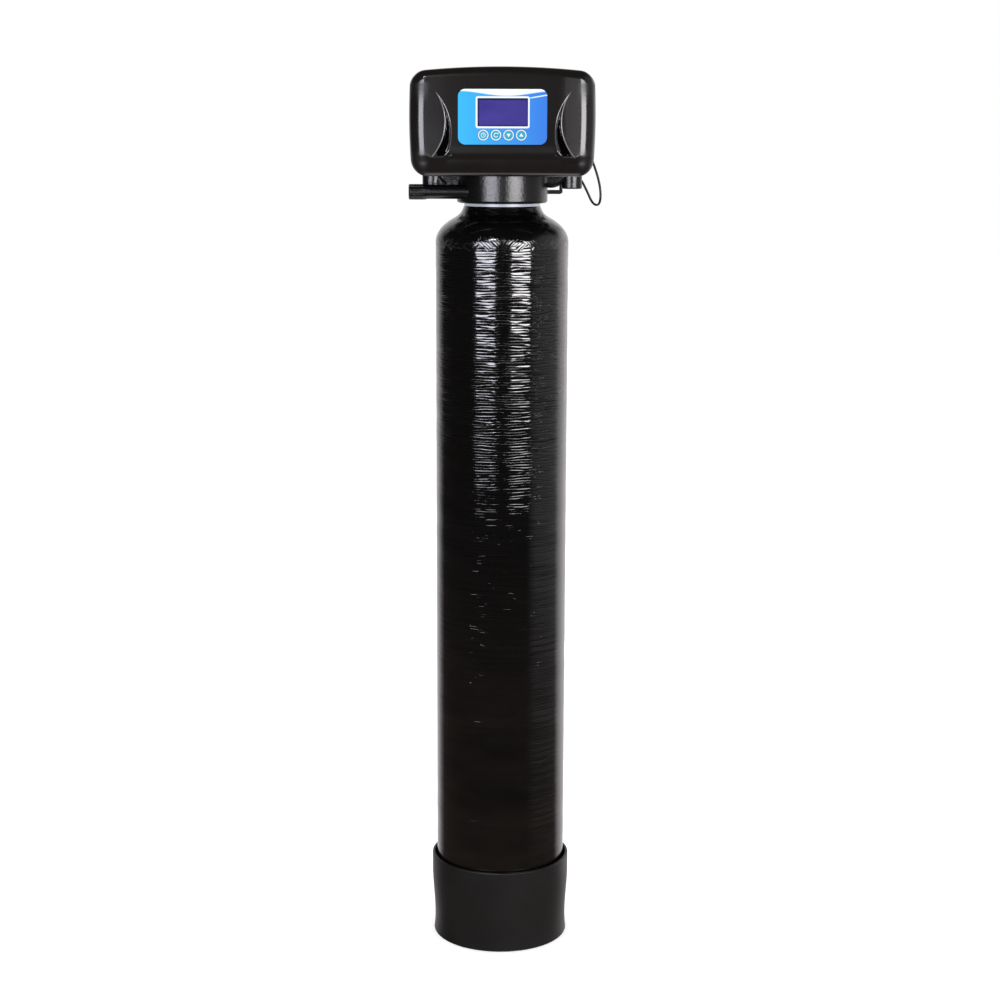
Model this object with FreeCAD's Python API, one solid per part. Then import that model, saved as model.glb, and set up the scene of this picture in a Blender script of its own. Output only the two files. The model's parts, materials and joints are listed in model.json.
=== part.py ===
import FreeCAD, Part

import math
import os

# Backwashing carbon water filter: a wound pressure tank in a round boot, with an automatic
# backwash valve and its control head on top. Millimetres. The origin is on the floor under the
# tank's axis, +Z is up and the control head's face looks along -Y.

V = FreeCAD.Vector

# Tank
tank_diameter = 154.0
tank_height = 888.0
tank_floor_gap = 12.0
shell_wall = 3.0
liner_wall = 2.0
dome_flatness = 0.5
neck_diameter = 90.0
neck_rise = 4.0
skirt_wall = 3.2
skirt_length = 34.0
insert_flange_diameter = 88.0
insert_flange_height = 4.0
opening_diameter = 72.4

# Boot that the tank stands in
boot_height = 99.7
boot_rim_diameter = 165.7
boot_waist_diameter = 160.3
boot_foot_diameter = 162.0
boot_wall = 2.8
boot_floor = 4.0
boot_rim_band = 17.0
boot_waist_height = 32.0
boot_drain_diameter = 40.0
boot_rib_count = 8
boot_rib_thickness = 3.0

# Filling and pipes inside the tank
gravel_top = 112.0
carbon_top = 640.0
riser_diameter = 26.7
riser_wall = 2.0
strainer_diameter = 50.0
strainer_bottom = 24.0
strainer_length = 50.0
top_strainer_diameter = 62.0
top_strainer_length = 50.0
slot_width = 1.2
slot_count = 16

# Valve body
collar_diameter = 105.0
collar_height = 38.0
collar_round = 3.0
spigot_length = 24.0
neck_seal_wire = 1.8
valve_axis_height = 87.0
chamber_diameter = 84.0
chamber_bore_diameter = 68.0
chamber_front = -26.0
chamber_back = 38.0
chamber_floor = 8.0
port_drop = 49.0
port_diameter = 42.0
port_bore_diameter = 28.4
port_back = 46.0
port_front = -8.0
water_way_diameter = 13.0
water_way_spacing = 36.0
body_half_width = 38.0
body_depth = 12.0
port_web_diameter = 28.0
tower_web_diameter = 22.0
tower_round = 1.5
spigot_wall = 4.0
riser_socket_depth = 16.0
tower_inset = 24.0
tower_diameter = 24.0
tower_depth = 5.0
tower_bottom = 16.0
tower_height = 46.0
drain_diameter = 16.0
drain_bore_diameter = 9.0
drain_front = -28.0
drain_height = 13.0
drain_stub = 6.2
drain_root = 1.5
side_cut = 38.8
side_height = 63.0
drain_nut_length = 20.0
drain_nut_diameter = 17.5
drain_nut_lobes = 12
drain_groove_radius = 1.6
drain_nut_band = 3.5
fitting_diameter = 11.2
drain_plug = 16.0
hose_bore_diameter = 6.4
injector_width = 13.6
injector_height = 9.5
injector_depth = 14.0
injector_front = -16.0
injector_screw_spacing = 8.0
injector_clearance = 1.08
injector_cover_thickness = 2.0
injector_screw_diameter = 3.6
injector_screw_head = 1.2

# Disc pack and drive
disc_diameter = 66.0
disc_thickness = 6.0
moving_disc_diameter = 56.0
moving_disc_thickness = 6.0
disc_seal_thickness = 2.0
carrier_thickness = 5.0
washer_thickness = 1.6
disc_hole_diameter = 15.0
disc_hole_circle = 36.0
shaft_diameter = 16.0
shaft_nose_diameter = 14.0
shaft_flat = 5.5
gear_screw_diameter = 4.0
gear_screw_depth = 11.0
nut_flange = 8.0
nut_diameter = 79.0
gear_diameter = 88.0
main_teeth = 44
pinion_teeth = 12
gear_width = 9.0
gear_back = -37.0
gear_backlash = 0.5
gear_tooth_share = 0.8
gear_root_share = 1.15
gear_hub_diameter = 28.0
gear_rim = 7.0
gear_web_recess = 3.0
magnet_diameter = 6.0
magnet_circle = 68.0
magnet_length = 4.0
magnet_wall = 2.0
magnet_angle = 60.0
motor_diameter = 36.0
motor_length = 29.0
motor_offset = 7.0
motor_shaft_diameter = 6.0
motor_shaft_depth = 12.0
motor_boss_diameter = 12.0
motor_screw_spacing = 43.0
motor_screw_hole = 3.4
motor_ear_width = 10.0
motor_ear_thickness = 2.0
motor_round = 1.5
motor_tag_length = 5.0
motor_tag_spacing = 12.0
plate_thickness = 3.0
plate_front = -30.0
plate_gap = 5.0
plate_corner_round = 10.0
plate_bottom = -48.0
plate_top = 55.0
lug_circle = 92.0
lug_diameter = 12.0
lug_hole_diameter = 4.0
lug_hole_depth = 14.0
plate_screw_length = 15.0
plate_screw_head = 2.6
sensing_gap = 6.5
sensing_left = 50.0
sensing_right = 37.0
sensing_below = 43.0
sensing_above = 49.0
sensing_post_diameter = 7.0
sensing_post_x = 30.0
sensing_post_rise = 43.0
sensing_post_low_x = 44.0
sensing_post_drop = 34.0
sensing_screw_head = 2.0
sensing_screw_depth = 8.0

# Head covers
head_half_width = 104.5
head_top_taper = 1.9
head_bottom_taper = 3.0
head_bottom = 31.5
head_side_mid = 89.0
head_shoulder = 146.5
head_crown = 152.2
head_front = -79.0
head_seam = -14.0
head_back = 46.0
head_wall = 2.5
top_corner_round = 13.0
bottom_corner_round = 18.0
front_edge_round = 9.0
rear_step = 3.0
rear_edge_round = 8.0
rear_skirt_bottom = 38.0
recess_depth = 3.6
post_diameter = 9.0
post_top_inset = 14.5
post_top_height = 132.0
post_low_inset = 12.5
post_low_height = 74.0
post_pilot_diameter = 3.4
post_pilot_depth = 12.0
cover_screw_head = 2.6
cover_screw_sink = 1.2
vent_count = 7
vent_pitch = 4.5
vent_height = 2.0
vent_half_width = 24.0
vent_low = 104.0

# The two moulded crescents of the face, as places from the middle and above the tank's top
crescent_tip = (74.5, 125.5)
crescent_outer_middle = (63.4, 93.0)
crescent_outer_low = (79.5, 53.0)
crescent_inner_low = (63.5, 57.5)
crescent_inner_middle = (58.0, 85.0)

# Display, overlay and keys
label_offset = 0.1
label_width = 99.0
label_height = 60.6
label_middle = 97.0
label_round = 8.0
label_thickness = 0.5
panel_offset = 0.3
screen_width = 56.2
screen_height = 31.0
screen_middle = 102.0
lcd_frame_width = 62.0
lcd_frame_height = 35.0
lcd_depth = 7.8
key_pitch = 14.1
key_height = 77.1
key_diameter = 12.0
key_travel = 0.6
key_proud = 0.3
key_row_shift = 0.45
key_flange = 0.9
key_flange_thickness = 1.1
key_stem_diameter = 4.0
key_edge_round = 0.25
switch_height = 3.2
switch_body_height = 2.6
switch_body_width = 6.0
board_width = 108.0
board_height = 68.0
board_thickness = 1.6
board_corner = 5.0
board_post_diameter = 6.0
board_screw_head = 2.0
board_part_margin = 8.1

# Pipe connectors
thread_diameter = 33.2
thread_length = 24.0
pipe_bore_diameter = 20.0
connector_flange_diameter = 39.0
connector_flange = 4.0
connector_insert = 26.0
clip_plane = 38.0
clip_wire = 3.2
clip_leg = 3.8
clip_bridge = 4.7
clip_lip = 2.0
clip_drop = 24.3
clip_leg_rise = 5.0
clip_groove_depth = 3.2
clip_clearance = 1.34
clip_chamfer = 2.5

# Flow turbine and its lead
turbine_diameter = 17.6
turbine_hub_diameter = 6.0
turbine_length = 9.0
turbine_blades = 6
turbine_pin_diameter = 3.0
probe_diameter = 7.0
probe_cap_diameter = 9.0
probe_height = 30.0
lead_diameter = 2.8
gland_diameter = 9.0
power_gland_diameter = 12.0
power_bore_diameter = 7.0
gland_inset = 20.5
gland_height = 98.0
gland_neck_wall = 1.5
gland_reach = 3.0
probe_length = 24.0
probe_offset = 2.0

# Clearances
glue_gap = 0.25
seat_gap = 0.3
slip_gap = 0.2
running_gap = 0.05
face_gap = 0.1

# Places worked out from the sizes above
tank_radius = tank_diameter / 2
dome_height = tank_radius * dome_flatness
dome_bottom = tank_floor_gap + dome_height
neck_radius = neck_diameter / 2
flange_bottom = tank_height - insert_flange_height
dome_rise_at_neck = dome_height * math.sqrt(1 - (neck_radius / tank_radius) ** 2)
dome_top = flange_bottom - 2 * neck_rise - dome_rise_at_neck
opening_radius = opening_diameter / 2
skirt_radius = opening_radius + skirt_wall
liner_radius = tank_radius - shell_wall - glue_gap
bed_radius = liner_radius - liner_wall - seat_gap
riser_radius = riser_diameter / 2
spigot_radius = opening_radius - seat_gap
collar_radius = collar_diameter / 2
valve_axis = tank_height + valve_axis_height
clip_inner = port_bore_diameter / 2 - clip_groove_depth + slip_gap
clip_outer = clip_inner + clip_leg
clip_front = clip_plane - clip_wire / 2 - clip_lip
port_x = math.sqrt(collar_radius ** 2 - clip_front ** 2) + clip_outer + clip_clearance
port_z = valve_axis - port_drop
tower_x = head_half_width - tower_inset
tower_low = tank_height + tower_bottom
drain_z = tank_height + drain_height
drain_reach = tower_x + drain_stub
drain_joint = collar_radius + drain_root
neck_seal_z = tank_height - 8
injector_low = tower_low + 1
injector_cover_front = injector_front - injector_cover_thickness
injector_offset = (math.sqrt(collar_radius ** 2 - injector_cover_front ** 2) + injector_width / 2
                   + injector_clearance)
gear_front = gear_back - gear_width
gear_module = gear_diameter / main_teeth
shaft_tip = gear_front + slip_gap
gear_distance = gear_module * (main_teeth + pinion_teeth) / 2
motor_x = gear_distance + motor_offset
plate_back = plate_front + plate_thickness
plate_half_width = head_half_width - head_wall - plate_gap
wall_inside = head_front + head_wall
board_front = wall_inside + lcd_depth + 2 * face_gap
board_back = board_front + board_thickness
post_top_x = head_half_width - post_top_inset
post_low_x = head_half_width - post_low_inset
posts = [(-post_top_x, tank_height + post_top_height), (post_top_x, tank_height + post_top_height),
         (-post_low_x, tank_height + post_low_height), (post_low_x, tank_height + post_low_height)]
lugs = [(0.5 * lug_circle * math.cos(math.radians(a)),
         valve_axis + 0.5 * lug_circle * math.sin(math.radians(a))) for a in (45, 135, 225, 315)]
magnet_x = magnet_circle / 2 * math.cos(math.radians(magnet_angle))
magnet_z = valve_axis + magnet_circle / 2 * math.sin(math.radians(magnet_angle))
sensing_posts = [(-sensing_post_x, valve_axis + sensing_post_rise),
                 (sensing_post_x, valve_axis + sensing_post_rise),
                 (-sensing_post_low_x, valve_axis - sensing_post_drop)]
sensing_back = gear_front - sensing_gap
seal_back = chamber_floor
seal_front = seal_back - disc_seal_thickness
fixed_front = seal_front - disc_thickness
moving_back = fixed_front - face_gap
moving_front = moving_back - moving_disc_thickness
carrier_front = moving_front - carrier_thickness
washer_front = carrier_front - washer_thickness
plug_back = washer_front - face_gap
key_places = [panel_offset + (i - 1.5) * key_pitch - key_row_shift for i in range(4)]
key_z = tank_height + key_height
label_z = tank_height + label_middle
screen_z = tank_height + screen_middle
switch_top = board_front - switch_height
board_posts = [(panel_offset + sx * (board_width / 2 - board_corner),
                label_z + sz * (board_height / 2 - board_corner)) for sx in (-1, 1) for sz in (-1, 1)]
gland_x = head_half_width - gland_inset
gland_z = tank_height + gland_height
probe_x = tower_x + probe_offset
probe_z = tank_height + probe_height
probe_end = tower_depth + probe_length


def box(x0, x1, y0, y1, z0, z1):
    return Part.makeBox(x1 - x0, y1 - y0, z1 - z0, V(x0, y0, z0))


def rod_x(radius, x0, x1, y, z):
    return Part.makeCylinder(radius, x1 - x0, V(x0, y, z), V(1, 0, 0))


def rod_y(radius, y0, y1, x=0.0, z=0.0):
    return Part.makeCylinder(radius, y1 - y0, V(x, y0, z), V(0, 1, 0))


def rod_z(radius, z0, z1, x=0.0, y=0.0):
    return Part.makeCylinder(radius, z1 - z0, V(x, y, z0), V(0, 0, 1))


def ring_y(outer, inner, y0, y1, x=0.0, z=0.0):
    return rod_y(outer, y0, y1, x, z).cut(rod_y(inner, y0 - 1, y1 + 1, x, z))


def ring_z(outer, inner, z0, z1, x=0.0, y=0.0):
    return rod_z(outer, z0, z1, x, y).cut(rod_z(inner, z0 - 1, z1 + 1, x, y))


def line(a, b):
    return Part.LineSegment(V(*a), V(*b)).toShape()


def arc(a, mid, b):
    return Part.Arc(V(*a), V(*mid), V(*b)).toShape()


def turned(edges):
    """Solid of revolution about Z from edges that close a profile in the XZ plane."""
    face = Part.Face(Part.Wire(edges))
    return face.revolve(V(0, 0, 0), V(0, 0, 1), 360)


def dome_edge(radius, height, middle, r0, r1, side):
    """Quarter ellipse of a dome, from radius r0 to radius r1, side +1 up or -1 down."""
    steps = 14
    a0 = math.acos(min(1.0, r0 / radius))
    a1 = math.acos(min(1.0, r1 / radius))
    points = []
    for i in range(steps + 1):
        a = a0 + (a1 - a0) * i / steps
        points.append(V(radius * math.cos(a), 0, middle + side * height * math.sin(a)))
    curve = Part.BSplineCurve()
    curve.interpolate(points)
    return curve.toShape()


def ends(edge):
    first = edge.valueAt(edge.FirstParameter)
    last = edge.valueAt(edge.LastParameter)
    return (first.x, 0, first.z), (last.x, 0, last.z)


def vessel(radius, wall, neck_outer, neck_inner, neck_end, inset):
    """Closed bottom, straight side and a domed top with a neck; inset is how far the dome's
    ellipse lies inside the tank's outer one."""
    height = dome_height - inset
    low_out = dome_edge(radius, height, dome_bottom, 0.0, radius, -1)
    top_out = dome_edge(radius, height, dome_top, radius, neck_outer, 1)
    low_in = dome_edge(radius - wall, height - wall, dome_bottom, radius - wall, 0.0, -1)
    top_in = dome_edge(radius - wall, height - wall, dome_top, neck_inner, radius - wall, 1)
    a, b = ends(low_out)
    c, d = ends(top_out)
    e, f = ends(top_in)
    g, h = ends(low_in)
    rim_out = (neck_outer, 0, neck_end)
    rim_in = (neck_inner, 0, neck_end)
    return turned([low_out, line(b, c), top_out, line(d, rim_out), line(rim_out, rim_in),
                   line(rim_in, e), top_in, line(f, g), low_in, line(h, a)])


def tank_shell():
    shell = vessel(tank_radius, shell_wall, neck_radius, skirt_radius + liner_wall + 2 * glue_gap,
                   flange_bottom, 0.0)
    return shell


def tank_liner():
    return vessel(liner_radius, liner_wall, skirt_radius + liner_wall + glue_gap,
                  skirt_radius + glue_gap, flange_bottom, shell_wall + glue_gap)


def neck_insert():
    flange = ring_z(insert_flange_diameter / 2, opening_radius, flange_bottom, tank_height)
    skirt = ring_z(skirt_radius, opening_radius, flange_bottom - skirt_length, flange_bottom)
    return flange.fuse(skirt).removeSplitter()


def bed(bottom, top):
    """Bed of filling between two levels, round the riser and the strainer."""
    ellipse = dome_edge(bed_radius, dome_height - shell_wall - liner_wall - seat_gap - glue_gap,
                        dome_bottom, 0.0, bed_radius, -1)
    a, b = ends(ellipse)
    side_top = (bed_radius, 0, top)
    centre_top = (0, 0, top)
    body = turned([ellipse, line(b, side_top), line(side_top, centre_top), line(centre_top, a)])
    body = body.common(rod_z(tank_radius, bottom, top))
    body = body.cut(rod_z(riser_radius + seat_gap, strainer_bottom, carbon_top + 1))
    strainer_top = strainer_bottom + strainer_length
    if bottom < strainer_top:
        body = body.cut(rod_z(strainer_diameter / 2 + seat_gap, strainer_bottom - seat_gap,
                              strainer_top + seat_gap))
    return body


def slotted(radius, bore, z0, z1, closed_low):
    """Strainer basket with upright slots all round."""
    wall = 2.2
    basket = rod_z(radius, z0, z1)
    hollow = rod_z(radius - wall, z0 + wall, z1 - wall)
    basket = basket.cut(hollow)
    basket = basket.fuse(rod_z(bore + wall, z1 - 16, z1))
    basket = basket.cut(rod_z(bore, z0 + (wall if closed_low else -1), z1 + 1))
    for i in range(slot_count):
        slot = box(bore + wall + 1, radius + 1, -slot_width / 2, slot_width / 2, z0 + 6, z1 - 6)
        slot.rotate(V(0, 0, 0), V(0, 0, 1), 360.0 * i / slot_count)
        basket = basket.cut(slot)
    return basket


def riser_tube():
    return ring_z(riser_radius, riser_radius - riser_wall, strainer_bottom + 6, tank_height + 14)


def bottom_strainer():
    return slotted(strainer_diameter / 2, riser_radius + slip_gap, strainer_bottom,
                   strainer_bottom + strainer_length, True)


def top_strainer():
    top = tank_height - spigot_length
    return slotted(top_strainer_diameter / 2, riser_radius + slip_gap,
                   top - top_strainer_length, top, False)


def boot():
    """Cup with a rim band, a waist and a slightly wider foot, and ribs under the tank's dome."""
    rim = boot_rim_diameter / 2
    waist = boot_waist_diameter / 2
    foot = boot_foot_diameter / 2
    inner_rim = rim - boot_wall
    seat = tank_radius + seat_gap
    band = boot_height - boot_rim_band
    taper_top = dome_bottom + seat_gap + 30.0
    hole = boot_drain_diameter / 2
    outer = Part.BSplineCurve()
    outer.interpolate([V(rim, 0, band), V((rim + waist) / 2 + 0.4, 0, (band + boot_waist_height) / 2),
                       V(waist, 0, boot_waist_height), V(foot, 0, 1.5)])
    edges = [line((hole, 0, 0), (foot - 1.5, 0, 0)),
             arc((foot - 1.5, 0, 0), (foot - 0.44, 0, 0.44), (foot, 0, 1.5)),
             outer.toShape(),
             line((rim, 0, band), (rim, 0, boot_height - 1.2)),
             arc((rim, 0, boot_height - 1.2), (rim - 0.35, 0, boot_height - 0.35),
                 (rim - 1.2, 0, boot_height)),
             line((rim - 1.2, 0, boot_height), (inner_rim, 0, boot_height)),
             line((inner_rim, 0, boot_height), (inner_rim, 0, band)),
             line((inner_rim, 0, band), (seat, 0, taper_top)),
             line((seat, 0, taper_top), (seat, 0, boot_floor)),
             line((seat, 0, boot_floor), (hole, 0, boot_floor)),
             line((hole, 0, boot_floor), (hole, 0, 0))]
    cup = turned(edges)
    seat_dome = dome_edge(seat, dome_height + seat_gap, dome_bottom, hole, seat, -1)
    a, b = ends(seat_dome)
    low = (seat, 0, boot_floor)
    under = turned([seat_dome, line(b, low), line(low, (hole, 0, boot_floor)),
                    line((hole, 0, boot_floor), a)])
    for i in range(boot_rib_count // 2):
        blade = box(-tank_diameter, tank_diameter, -boot_rib_thickness / 2, boot_rib_thickness / 2,
                    0, boot_height)
        blade.rotate(V(0, 0, 0), V(0, 0, 1), 360.0 * i / boot_rib_count)
        cup = cup.fuse(under.common(blade))
    return cup


def ball_end_rod(radius, y0, y1, x, z):
    """Rod along Y whose front end is rounded."""
    body = rod_y(radius, y0, y1, x, z)
    front = [e for e in body.Edges if len(e.Vertexes) == 1 and e.CenterOfMass.y < y0 + 0.01]
    return body.makeFillet(radius * 0.3, front)


def whole_valve():
    """Moulded body: collar, chamber for the discs, two pipe sockets, two end towers, the drain
    branch's stub and the injector block, with its water passages."""
    collar_top = tank_height + collar_height
    collar = rod_z(collar_diameter / 2, tank_height, collar_top)
    foot = [e for e in collar.Edges if len(e.Vertexes) == 1 and e.CenterOfMass.z < tank_height + 0.01]
    body = collar.makeFillet(collar_round, foot)
    body = body.fuse(rod_z(spigot_radius, tank_height - spigot_length, tank_height + 2))
    body = body.fuse(rod_y(chamber_diameter / 2, chamber_front, chamber_back, 0, valve_axis))
    body = body.fuse(box(-body_half_width, body_half_width, chamber_front + 4, chamber_back,
                         collar_top - body_depth, valve_axis))
    for side in (-1, 1):
        x = side * port_x
        body = body.fuse(ball_end_rod(port_diameter / 2, port_front, port_back, x, port_z))
        tower = rod_z(tower_diameter / 2, tower_low, tower_low + tower_height, side * tower_x,
                      tower_depth)
        rims = [e for e in tower.Edges if len(e.Vertexes) == 1]
        body = body.fuse(tower.makeFillet(tower_round, rims))
        body = body.fuse(rod_x(tower_web_diameter / 2, min(x, side * tower_x), max(x, side * tower_x),
                               tower_depth + 2, port_z))
        body = body.fuse(rod_x(port_web_diameter / 2, min(0, x), max(0, x), tower_depth + 6, port_z))
    body = body.fuse(rod_x(drain_diameter / 2, -drain_joint, 0, drain_front, drain_z))
    left = -injector_offset - injector_width / 2
    body = body.fuse(box(left, left + injector_width, injector_front, injector_front + injector_depth,
                         injector_low, injector_low + injector_height))
    body = body.fuse(box(left - 10, left + injector_width + 4, -6, 6, injector_low + 2, port_z))
    for x, z in lugs:
        body = body.fuse(rod_y(lug_diameter / 2, plate_back, 20, x, z))
    # Water passages
    body = body.cut(rod_y(chamber_bore_diameter / 2, chamber_front - 1, chamber_floor, 0, valve_axis))
    body = body.cut(rod_z(riser_radius + slip_gap, tank_height - spigot_length - 1,
                          tank_height + riser_socket_depth))
    body = body.cut(rod_z(riser_radius - riser_wall, tank_height + 10, valve_axis - 30))
    way = water_way_diameter / 2
    half_ways = water_way_spacing / 2
    body = body.cut(rod_y(way, chamber_floor - 1, half_ways + 4, 0, valve_axis - half_ways))
    body = body.cut(rod_z(way, collar_top + 2, valve_axis - 12, 0, half_ways))
    body = body.cut(ring_z(spigot_radius - spigot_wall, riser_radius + spigot_wall,
                           tank_height - spigot_length - 1, tank_height + riser_socket_depth + 2))
    seal_half = neck_seal_wire * 0.6
    body = body.cut(ring_z(spigot_radius + 1, spigot_radius - neck_seal_wire, neck_seal_z - seal_half,
                           neck_seal_z + seal_half))
    for side in (-1, 1):
        x = side * port_x
        body = body.cut(rod_y(port_bore_diameter / 2, port_back - connector_insert - 1, port_back + 1,
                              x, port_z))
        body = body.cut(rod_y(pipe_bore_diameter / 2, 2, port_back, x, port_z))
        inner = side * half_ways
        body = body.cut(rod_x(way, min(inner, x), max(inner, x), tower_depth + 8, port_z))
        body = body.cut(rod_z(way - 0.5, port_z, valve_axis, inner, tower_depth + 8))
        body = body.cut(rod_y(way - 0.5, chamber_floor - 1, tower_depth + 8, inner, valve_axis))
        body = body.cut(clip_slots(x))
    body = body.cut(rod_x(drain_bore_diameter / 2, -drain_joint - 1, -20, drain_front, drain_z))
    body = body.cut(rod_z(4.5, drain_z, valve_axis - 25, -20.5, drain_front + 6))
    body = body.cut(rod_y(probe_diameter / 2 + running_gap, tower_depth, tower_depth + tower_diameter,
                          probe_x, probe_z))
    for x, z in lugs:
        body = body.cut(rod_y(lug_hole_diameter / 2, plate_back - 1, plate_back + lug_hole_depth, x, z))
    return body


def side_region(side):
    """Space of one side of the valve: its pipe socket, web and end tower. The body is cut there
    into simple nodes that meet face to face."""
    near = side * side_cut
    far = side * (tower_x + tower_diameter)
    return box(min(near, far), max(near, far), -collar_diameter, collar_diameter, tank_height,
               tank_height + side_height)


def drain_branch():
    """Drain pipe of the valve, which carries on from the body's stub."""
    pipe = rod_x(drain_diameter / 2, -drain_reach, -drain_joint, drain_front, drain_z)
    return pipe.cut(rod_x(drain_bore_diameter / 2, -drain_reach - 1, -drain_joint + 1, drain_front,
                          drain_z))


def clip_slots(x):
    low = port_z - port_diameter / 2 - 2
    top = port_z + clip_leg_rise + 2
    half = clip_wire / 2 + slip_gap
    slots = []
    for side in (-1, 1):
        a = x + side * (clip_inner - 2 * slip_gap)
        b = x + side * (clip_outer + slip_gap)
        slots.append(box(min(a, b), max(a, b), clip_plane - half, clip_plane + half, low, top))
    return slots[0].fuse(slots[1])


def port_clip(x):
    """U clip pushed up from below, whose legs sit in the connector's groove."""
    low = port_z - clip_drop - clip_bridge
    y0 = clip_plane - clip_wire / 2
    y1 = clip_plane + clip_wire / 2
    clip = box(x - clip_outer, x + clip_outer, clip_front, y1, low, low + clip_bridge)
    edges = [e for e in clip.Edges
             if abs(e.CenterOfMass.z - low) < 0.01
             and abs(abs(e.CenterOfMass.x - x) - clip_outer) < 0.01]
    clip = clip.makeChamfer(clip_chamfer, edges)
    for side in (-1, 1):
        a = x + side * clip_inner
        b = x + side * (clip_outer - slip_gap)
        clip = clip.fuse(box(min(a, b), max(a, b), y0, y1, low + 1, port_z + clip_leg_rise))
    return clip.removeSplitter()


def connector(x):
    """Threaded pipe connector held in the valve's socket by the clip."""
    insert = port_bore_diameter / 2 - slip_gap
    y0 = port_back - connector_insert
    y1 = port_back + slip_gap
    flange_end = y1 + connector_flange
    thread_end = flange_end + thread_length
    body = rod_y(insert, y0, y1 + 1, x, port_z)
    flange = rod_y(connector_flange_diameter / 2, y1, flange_end, x, port_z)
    body = body.fuse(flange)
    thread = rod_y(thread_diameter / 2, flange_end - 1, thread_end, x, port_z)
    tip = [e for e in thread.Edges if len(e.Vertexes) == 1 and e.CenterOfMass.y > thread_end - 0.01]
    body = body.fuse(thread.makeChamfer(1.2, tip))
    body = body.cut(rod_y(pipe_bore_diameter / 2, y0 - 1, thread_end + 1, x, port_z))
    groove = port_bore_diameter / 2 - clip_groove_depth
    half = clip_wire / 2 + slip_gap
    body = body.cut(ring_y(insert + 1, groove, clip_plane - half, clip_plane + half, x, port_z))
    body = body.cut(ring_y(insert + 1, insert - 2, y0 + 3, y0 + 6, x, port_z))
    return body.removeSplitter()


def port_seals():
    y0 = port_back - connector_insert
    insert = port_bore_diameter / 2 - slip_gap
    rings = []
    for side in (-1, 1):
        rings.append(Part.makeTorus(insert - 0.9, 1.05, V(side * port_x, y0 + 4.5, port_z),
                                    V(0, 1, 0)))
    return Part.makeCompound(rings)


def disc(radius, y0, y1, start):
    """Ceramic disc with three water ports."""
    body = rod_y(radius, y0, y1, 0, valve_axis)
    for i in range(3):
        a = math.radians(start + 120 * i)
        body = body.cut(rod_y(disc_hole_diameter / 2, y0 - 1, y1 + 1,
                              disc_hole_circle / 2 * math.cos(a),
                              valve_axis + disc_hole_circle / 2 * math.sin(a)))
    return body


def drive_shaft():
    """Carrier that holds the moving disc, with the shaft that turns it."""
    carrier = rod_y(moving_disc_diameter / 2, carrier_front, moving_front - face_gap, 0, valve_axis)
    shaft = rod_y(shaft_diameter / 2, gear_back, carrier_front + 1, 0, valve_axis)
    nose = rod_y(shaft_nose_diameter / 2, shaft_tip, gear_back + 1, 0, valve_axis)
    flat = box(-20, 20, shaft_tip - 1, gear_back, valve_axis + shaft_flat, valve_axis + 20)
    body = carrier.fuse(shaft).fuse(nose.cut(flat))
    return body.cut(rod_y(gear_screw_diameter / 2, shaft_tip - 1, shaft_tip + gear_screw_depth + 1, 0,
                          valve_axis))


def fitting_nut():
    front = chamber_front - nut_flange
    nut = rod_y(nut_diameter / 2, front, chamber_front, 0, valve_axis)
    for i in range(8):
        a = math.radians(45 * i + 22.5)
        r = nut_diameter / 2 + 2
        nut = nut.cut(rod_y(6, front - 1, chamber_front + 1, r * math.cos(a),
                            valve_axis + r * math.sin(a)))
    plug = rod_y(chamber_bore_diameter / 2 - slip_gap, chamber_front, plug_back, 0, valve_axis)
    nut = nut.fuse(plug).cut(rod_y(shaft_diameter / 2 + running_gap, front - 1, plug_back + 1, 0,
                                   valve_axis))
    groove = ring_y(shaft_diameter / 2 + 2, shaft_diameter / 2, chamber_front - 1,
                    chamber_front + 1.5, 0, valve_axis)
    return nut.cut(groove)


def gear_points(teeth, phase):
    """Involute tooth outline as points about the gear's centre, tooth 0 centred on the phase."""
    pitch = gear_module * teeth / 2
    base = pitch * math.cos(math.radians(20))
    tip = pitch + gear_tooth_share * gear_module
    root = pitch - gear_root_share * gear_module
    half = math.pi / (2 * teeth) - gear_backlash / (4 * pitch)
    inv_pitch = math.tan(math.radians(20)) - math.radians(20)
    low = max(base, root)
    flank = []
    for i in range(4):
        r = low + (tip - low) * i / 3
        a = math.acos(base / r)
        flank.append((r, half + inv_pitch - (math.tan(a) - a)))
    points = []
    for k in range(teeth):
        mid = phase + 2 * math.pi * k / teeth
        if root < low:
            points.append((root, mid - flank[0][1]))
        points += [(r, mid - a) for r, a in flank]
        points += [(r, mid + a) for r, a in reversed(flank)]
        if root < low:
            points.append((root, mid + flank[0][1]))
    return points


def gear_blank(teeth, phase, x, z, y0, y1):
    outline = gear_points(teeth, phase)
    corners = [V(x + r * math.cos(a), y0, z + r * math.sin(a)) for r, a in outline]
    face = Part.Face(Part.makePolygon(corners + corners[:1]))
    return face.extrude(V(0, y1 - y0, 0))


def main_gear():
    gear = gear_blank(main_teeth, 0.0, 0, valve_axis, gear_front, gear_back)
    rim = gear_diameter / 2 - gear_rim
    hub = gear_hub_diameter / 2
    gear = gear.cut(ring_y(rim, hub, gear_front - 1, gear_front + gear_web_recess, 0, valve_axis))
    gear = gear.cut(ring_y(rim, hub, gear_back - gear_web_recess, gear_back + 1, 0, valve_axis))
    bore = rod_y(shaft_nose_diameter / 2 + running_gap, gear_front - 3, gear_back + 1, 0, valve_axis)
    flat = box(-hub, hub, gear_front - 4, gear_back + 2, valve_axis + shaft_flat + running_gap,
               valve_axis + hub)
    gear = gear.cut(bore.cut(flat))
    boss = rod_y(magnet_diameter / 2 + magnet_wall, gear_front, gear_back, magnet_x, magnet_z)
    return gear.fuse(boss).cut(magnet_solid(running_gap))


def magnet_solid(grow):
    return rod_y(magnet_diameter / 2 + grow, gear_front - grow, gear_front + magnet_length, magnet_x,
                 magnet_z)


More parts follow.
